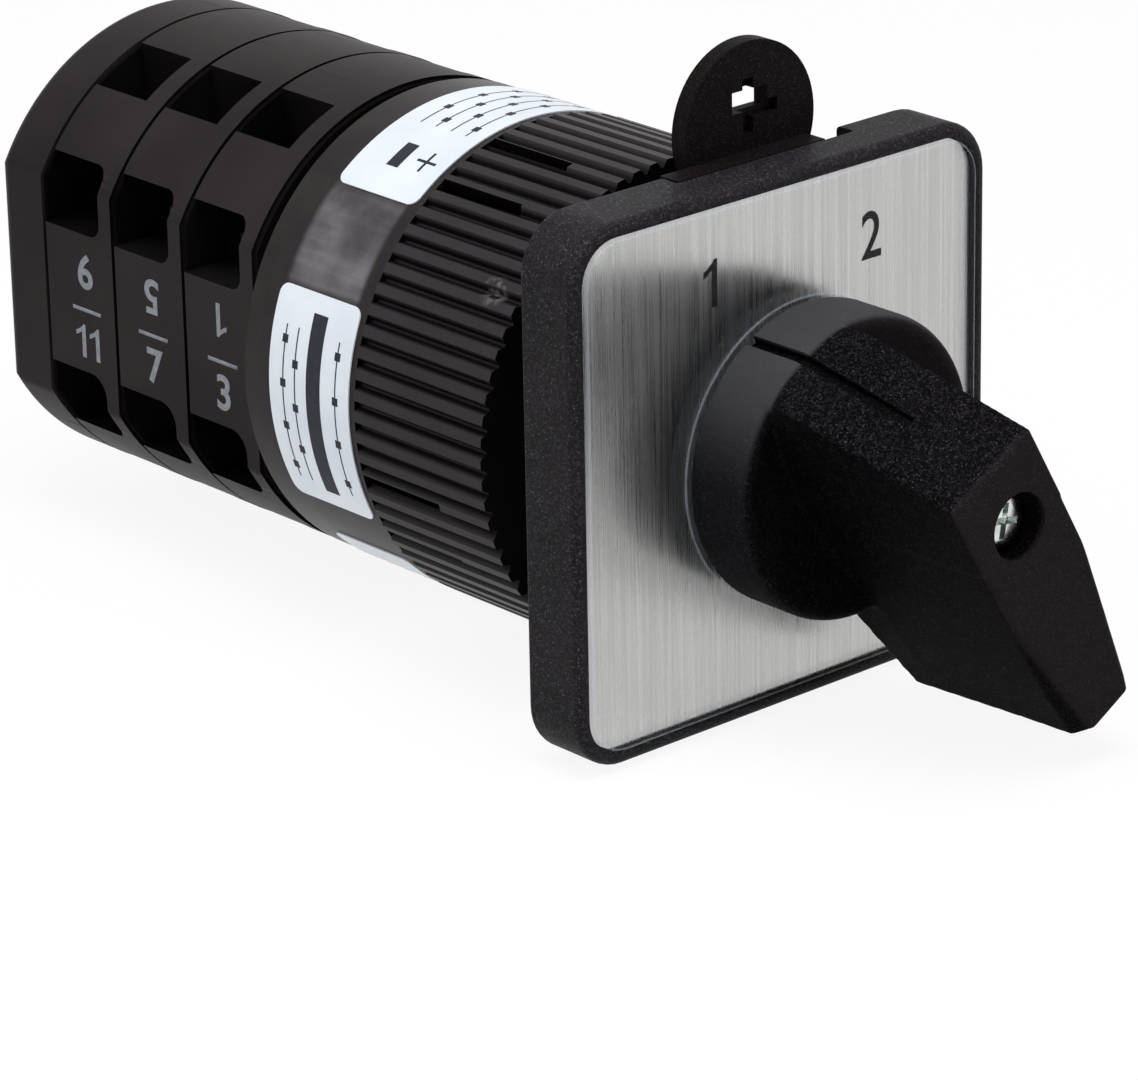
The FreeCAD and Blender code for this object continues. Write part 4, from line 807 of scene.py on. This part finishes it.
def label(node, depths, angles, marks):
    """A thin sheet with rounded corners and a plain printed contact diagram."""
    facet, paper, lift, ink_level, ink_thickness = 0.6, 0.13, 0.005, 0.136, 0.01
    start, end = (math.radians(angle) for angle in angles)
    length, width = (end - start) * BAND_RADIUS, depths[1] - depths[0]
    angle, depth = (start + end) / 2, (depths[0] + depths[1]) / 2
    bm = bmesh.new()
    place = Matrix.Diagonal((length / 2, width / 2, 1.0, 1.0))
    bmesh.ops.create_grid(bm, x_segments=1, y_segments=1, size=1.0, matrix=place)
    rounded(bm, bm.verts[:], 1.0, 6, "VERTICES")
    facets = int(length / facet)
    for index in range(1, facets):
        geometry = bm.verts[:] + bm.edges[:] + bm.faces[:]
        bmesh.ops.bisect_plane(bm, geom=geometry, plane_co=(-length / 2 + length * index / facets, 0, 0),
                               plane_no=(1, 0, 0))
    extruded(bm, bm.faces[:], (0, 0, paper))
    bmesh.ops.translate(bm, verts=bm.verts, vec=(0, 0, lift))
    bent(bm, angle, depth)
    piece(f"{node}_paper", bm, [PAPER], "housing", node, sharp_above=40)
    diagram = bmesh.new()
    for x, y, mark_length, mark_width in marks:
        size = Matrix.Diagonal((mark_length / 2, mark_width / 2, 1.0, 1.0))
        bmesh.ops.create_grid(diagram, x_segments=max(1, int(mark_length / facet)), y_segments=1, size=1.0,
                              matrix=Matrix.Translation((x, y, ink_level)) @ size)
    extruded(diagram, diagram.faces[:], (0, 0, ink_thickness))
    bent(diagram, angle, depth)
    piece(f"{node}_diagram", diagram, [LABEL_INK], "housing", sharp_above=40)


def contact_rows(start, row_depths, count):
    """Rows of a switching diagram: a thin line with a square at each closed contact."""
    pitch, line, square = 2.0, 0.16, 0.75
    marks = []
    for row, depth in enumerate(row_depths):
        marks.append((start + count, depth, pitch * count + 0.6, line))
        for contact in range(count):
            if (contact + row) % 2 == 0:
                marks.append((start + 1.0 + pitch * contact, depth, square, square))
    return marks


def labels():
    side = [(0.0, -0.6, 17.0, 1.9)] + contact_rows(-7.5, (-3.6, 1.9, 3.5), 7)
    top = [(-10.6, 0.6, 3.0, 1.5), (-10.6, -2.6, 0.3, 2.4), (-10.6, -2.6, 2.4, 0.3)]
    top += contact_rows(-6.0, (-3.2, -1.2, 0.8, 2.8), 9)
    label("label_top", (25.1, 35.5), (-39.5, 39.5), top)
    label("label_side", (25.1, 35.9), (-118.8, -65.5), side)
    label("label_bottom", (25.1, 35.5), (134.0, 226.0), contact_rows(-12.0, (-2.5, 0.0, 2.5), 12))


# Lever, ring and housings

# The faces that these pick get the painted shade.
def deep_in_ring(middle):
    return math.hypot(middle.x, middle.z) < INSIDE_RADIUS


def behind_band(middle):
    return middle.y > BAND_END or math.hypot(middle.x, middle.z) < 21.0


def in_cover_joint(middle):
    return middle.y < STAGE_START + STAGE_PITCH * len(STAGES) + STAGE_JOINT


def deep_in_stage(middle):
    """Inside an opening, or in the narrow joint in front of a stage."""
    behind_flat = abs(middle.x) < STAGE_FLAT - 0.4
    into = (middle.y - STAGE_START) % STAGE_PITCH
    return (math.hypot(middle.x, middle.z) < INSIDE_RADIUS and behind_flat) or into < STAGE_JOINT


def mouldings():
    dressed("lock_lever", [LEVER_BLACK], "lock_lever", 0.3, 3)
    dressed("clamp_ring", [RING_BLACK, PAINTED_SHADE_BLACK], "clamp_ring", 0.2, 3, deep_in_ring)
    dressed("adapter_housing", [BAND_BLACK, PAINTED_SHADE_BLACK], "housing", 0.25, 2, behind_band)
    blacks = [HOUSING_BLACK, PAINTED_SHADE_BLACK]
    for stage in STAGES:
        dressed(f"stage_housing_{stage}", blacks, "housing", 0.2, 2, deep_in_stage)
    dressed("rear_cover", blacks, "housing", 0.2, 2, in_cover_joint)


front_frame()
clear_cover()
clear_collar()
numerals()
terminal_numbers()
knob()
knob_screw()
labels()
mouldings()


# Floor, light and camera

def seen_white(tree):
    """1 for what the camera sees, directly, through clear plastic or in a reflection."""
    path = tree.nodes.new("ShaderNodeLightPath")
    either = path.outputs["Is Camera Ray"]
    for name in ("Is Transmission Ray", "Is Glossy Ray"):
        larger = tree.nodes.new("ShaderNodeMath")
        larger.operation = "MAXIMUM"
        tree.links.new(either, larger.inputs[0])
        tree.links.new(path.outputs[name], larger.inputs[1])
        either = larger.outputs[0]
    return either


def floor():
    """Nearly white where it is seen, so that only a trace of the object's shadow darkens it."""
    floor_half, white_share = 3.0, 0.9
    bm = bmesh.new()
    place = Matrix.Translation((0, 0, FLOOR_LEVEL * MM))
    bmesh.ops.create_grid(bm, x_segments=1, y_segments=1, size=floor_half, matrix=place)
    item = added("floor", meshed("floor", bm))
    finish = Finish("pale_floor", (0.93, 0.93, 0.93), 0.85)
    tree = finish.tree
    white = tree.nodes.new("ShaderNodeEmission")
    white.inputs["Color"].default_value = (1.0, 1.0, 1.0, 1.0)
    white.inputs["Strength"].default_value = 1.0
    blend = tree.nodes.new("ShaderNodeMixShader")
    share = tree.nodes.new("ShaderNodeMath")
    share.operation = "MULTIPLY"
    share.inputs[1].default_value = white_share
    tree.links.new(seen_white(tree), share.inputs[0])
    tree.links.new(share.outputs[0], blend.inputs[0])
    tree.links.new(finish.shader.outputs[0], blend.inputs[1])
    tree.links.new(white.outputs[0], blend.inputs[2])
    tree.links.new(blend.outputs[0], tree.nodes["Material Output"].inputs["Surface"])
    item.data.materials.append(finish.material)


def world():
    """White to the camera and in reflections, plain soft light for everything else."""
    soft, white = 0.26, 1.0
    studio = bpy.data.worlds.new("studio")
    bpy.context.scene.world = studio
    studio.use_nodes = True
    tree = studio.node_tree
    background = tree.nodes["Background"]
    background.inputs["Color"].default_value = (1.0, 1.0, 1.0, 1.0)
    strength = tree.nodes.new("ShaderNodeMix")
    strength.inputs[2].default_value = soft
    strength.inputs[3].default_value = white
    tree.links.new(seen_white(tree), strength.inputs[0])
    tree.links.new(strength.outputs[0], background.inputs["Strength"])


def aimed(item, place, target, roll=0.0):
    """Stands an item at a place, looking at a target, and rolls it by an angle in degrees."""
    look = (Vector(target) - Vector(place)).to_track_quat("-Z", "Y")
    turn = look @ Quaternion((0, 0, 1), math.radians(roll))
    item.matrix_world = Matrix.Translation(place) @ turn.to_matrix().to_4x4()


def lamp(name, place, target, size, power):
    """A rectangular lamp, its sizes in metres and its power in watts."""
    data = bpy.data.lights.new(name, "AREA")
    data.shape = "RECTANGLE"
    data.size, data.size_y = size
    data.energy = power
    aimed(added(name, data), place, target)


def camera():
    """The photograph's view, with the camera's place and target in millimetres."""
    place, target, roll = Vector((-317.85, -339.19, 170.99)), Vector((0, 21.64, -16.7)), -1.11
    data = bpy.data.cameras.new("camera")
    data.sensor_width = 36.0
    data.lens = 182.83
    data.clip_start = 0.01
    item = added("camera", data)
    aimed(item, place * MM, target * MM, roll)
    bpy.context.scene.camera = item


floor()
world()
lamp("key", (-0.12, -0.12, 0.6), (0, 0.03, 0), (0.4, 0.35), 3.4)
lamp("front", (0.2, -0.7, 0.25), (0, 0, 0), (0.5, 0.5), 1.1)
lamp("left", (-0.5, 0.3, 0.55), (0, 0.04, 0), (0.35, 0.5), 1.5)
camera()
bpy.context.scene.view_settings.view_transform = "Standard"
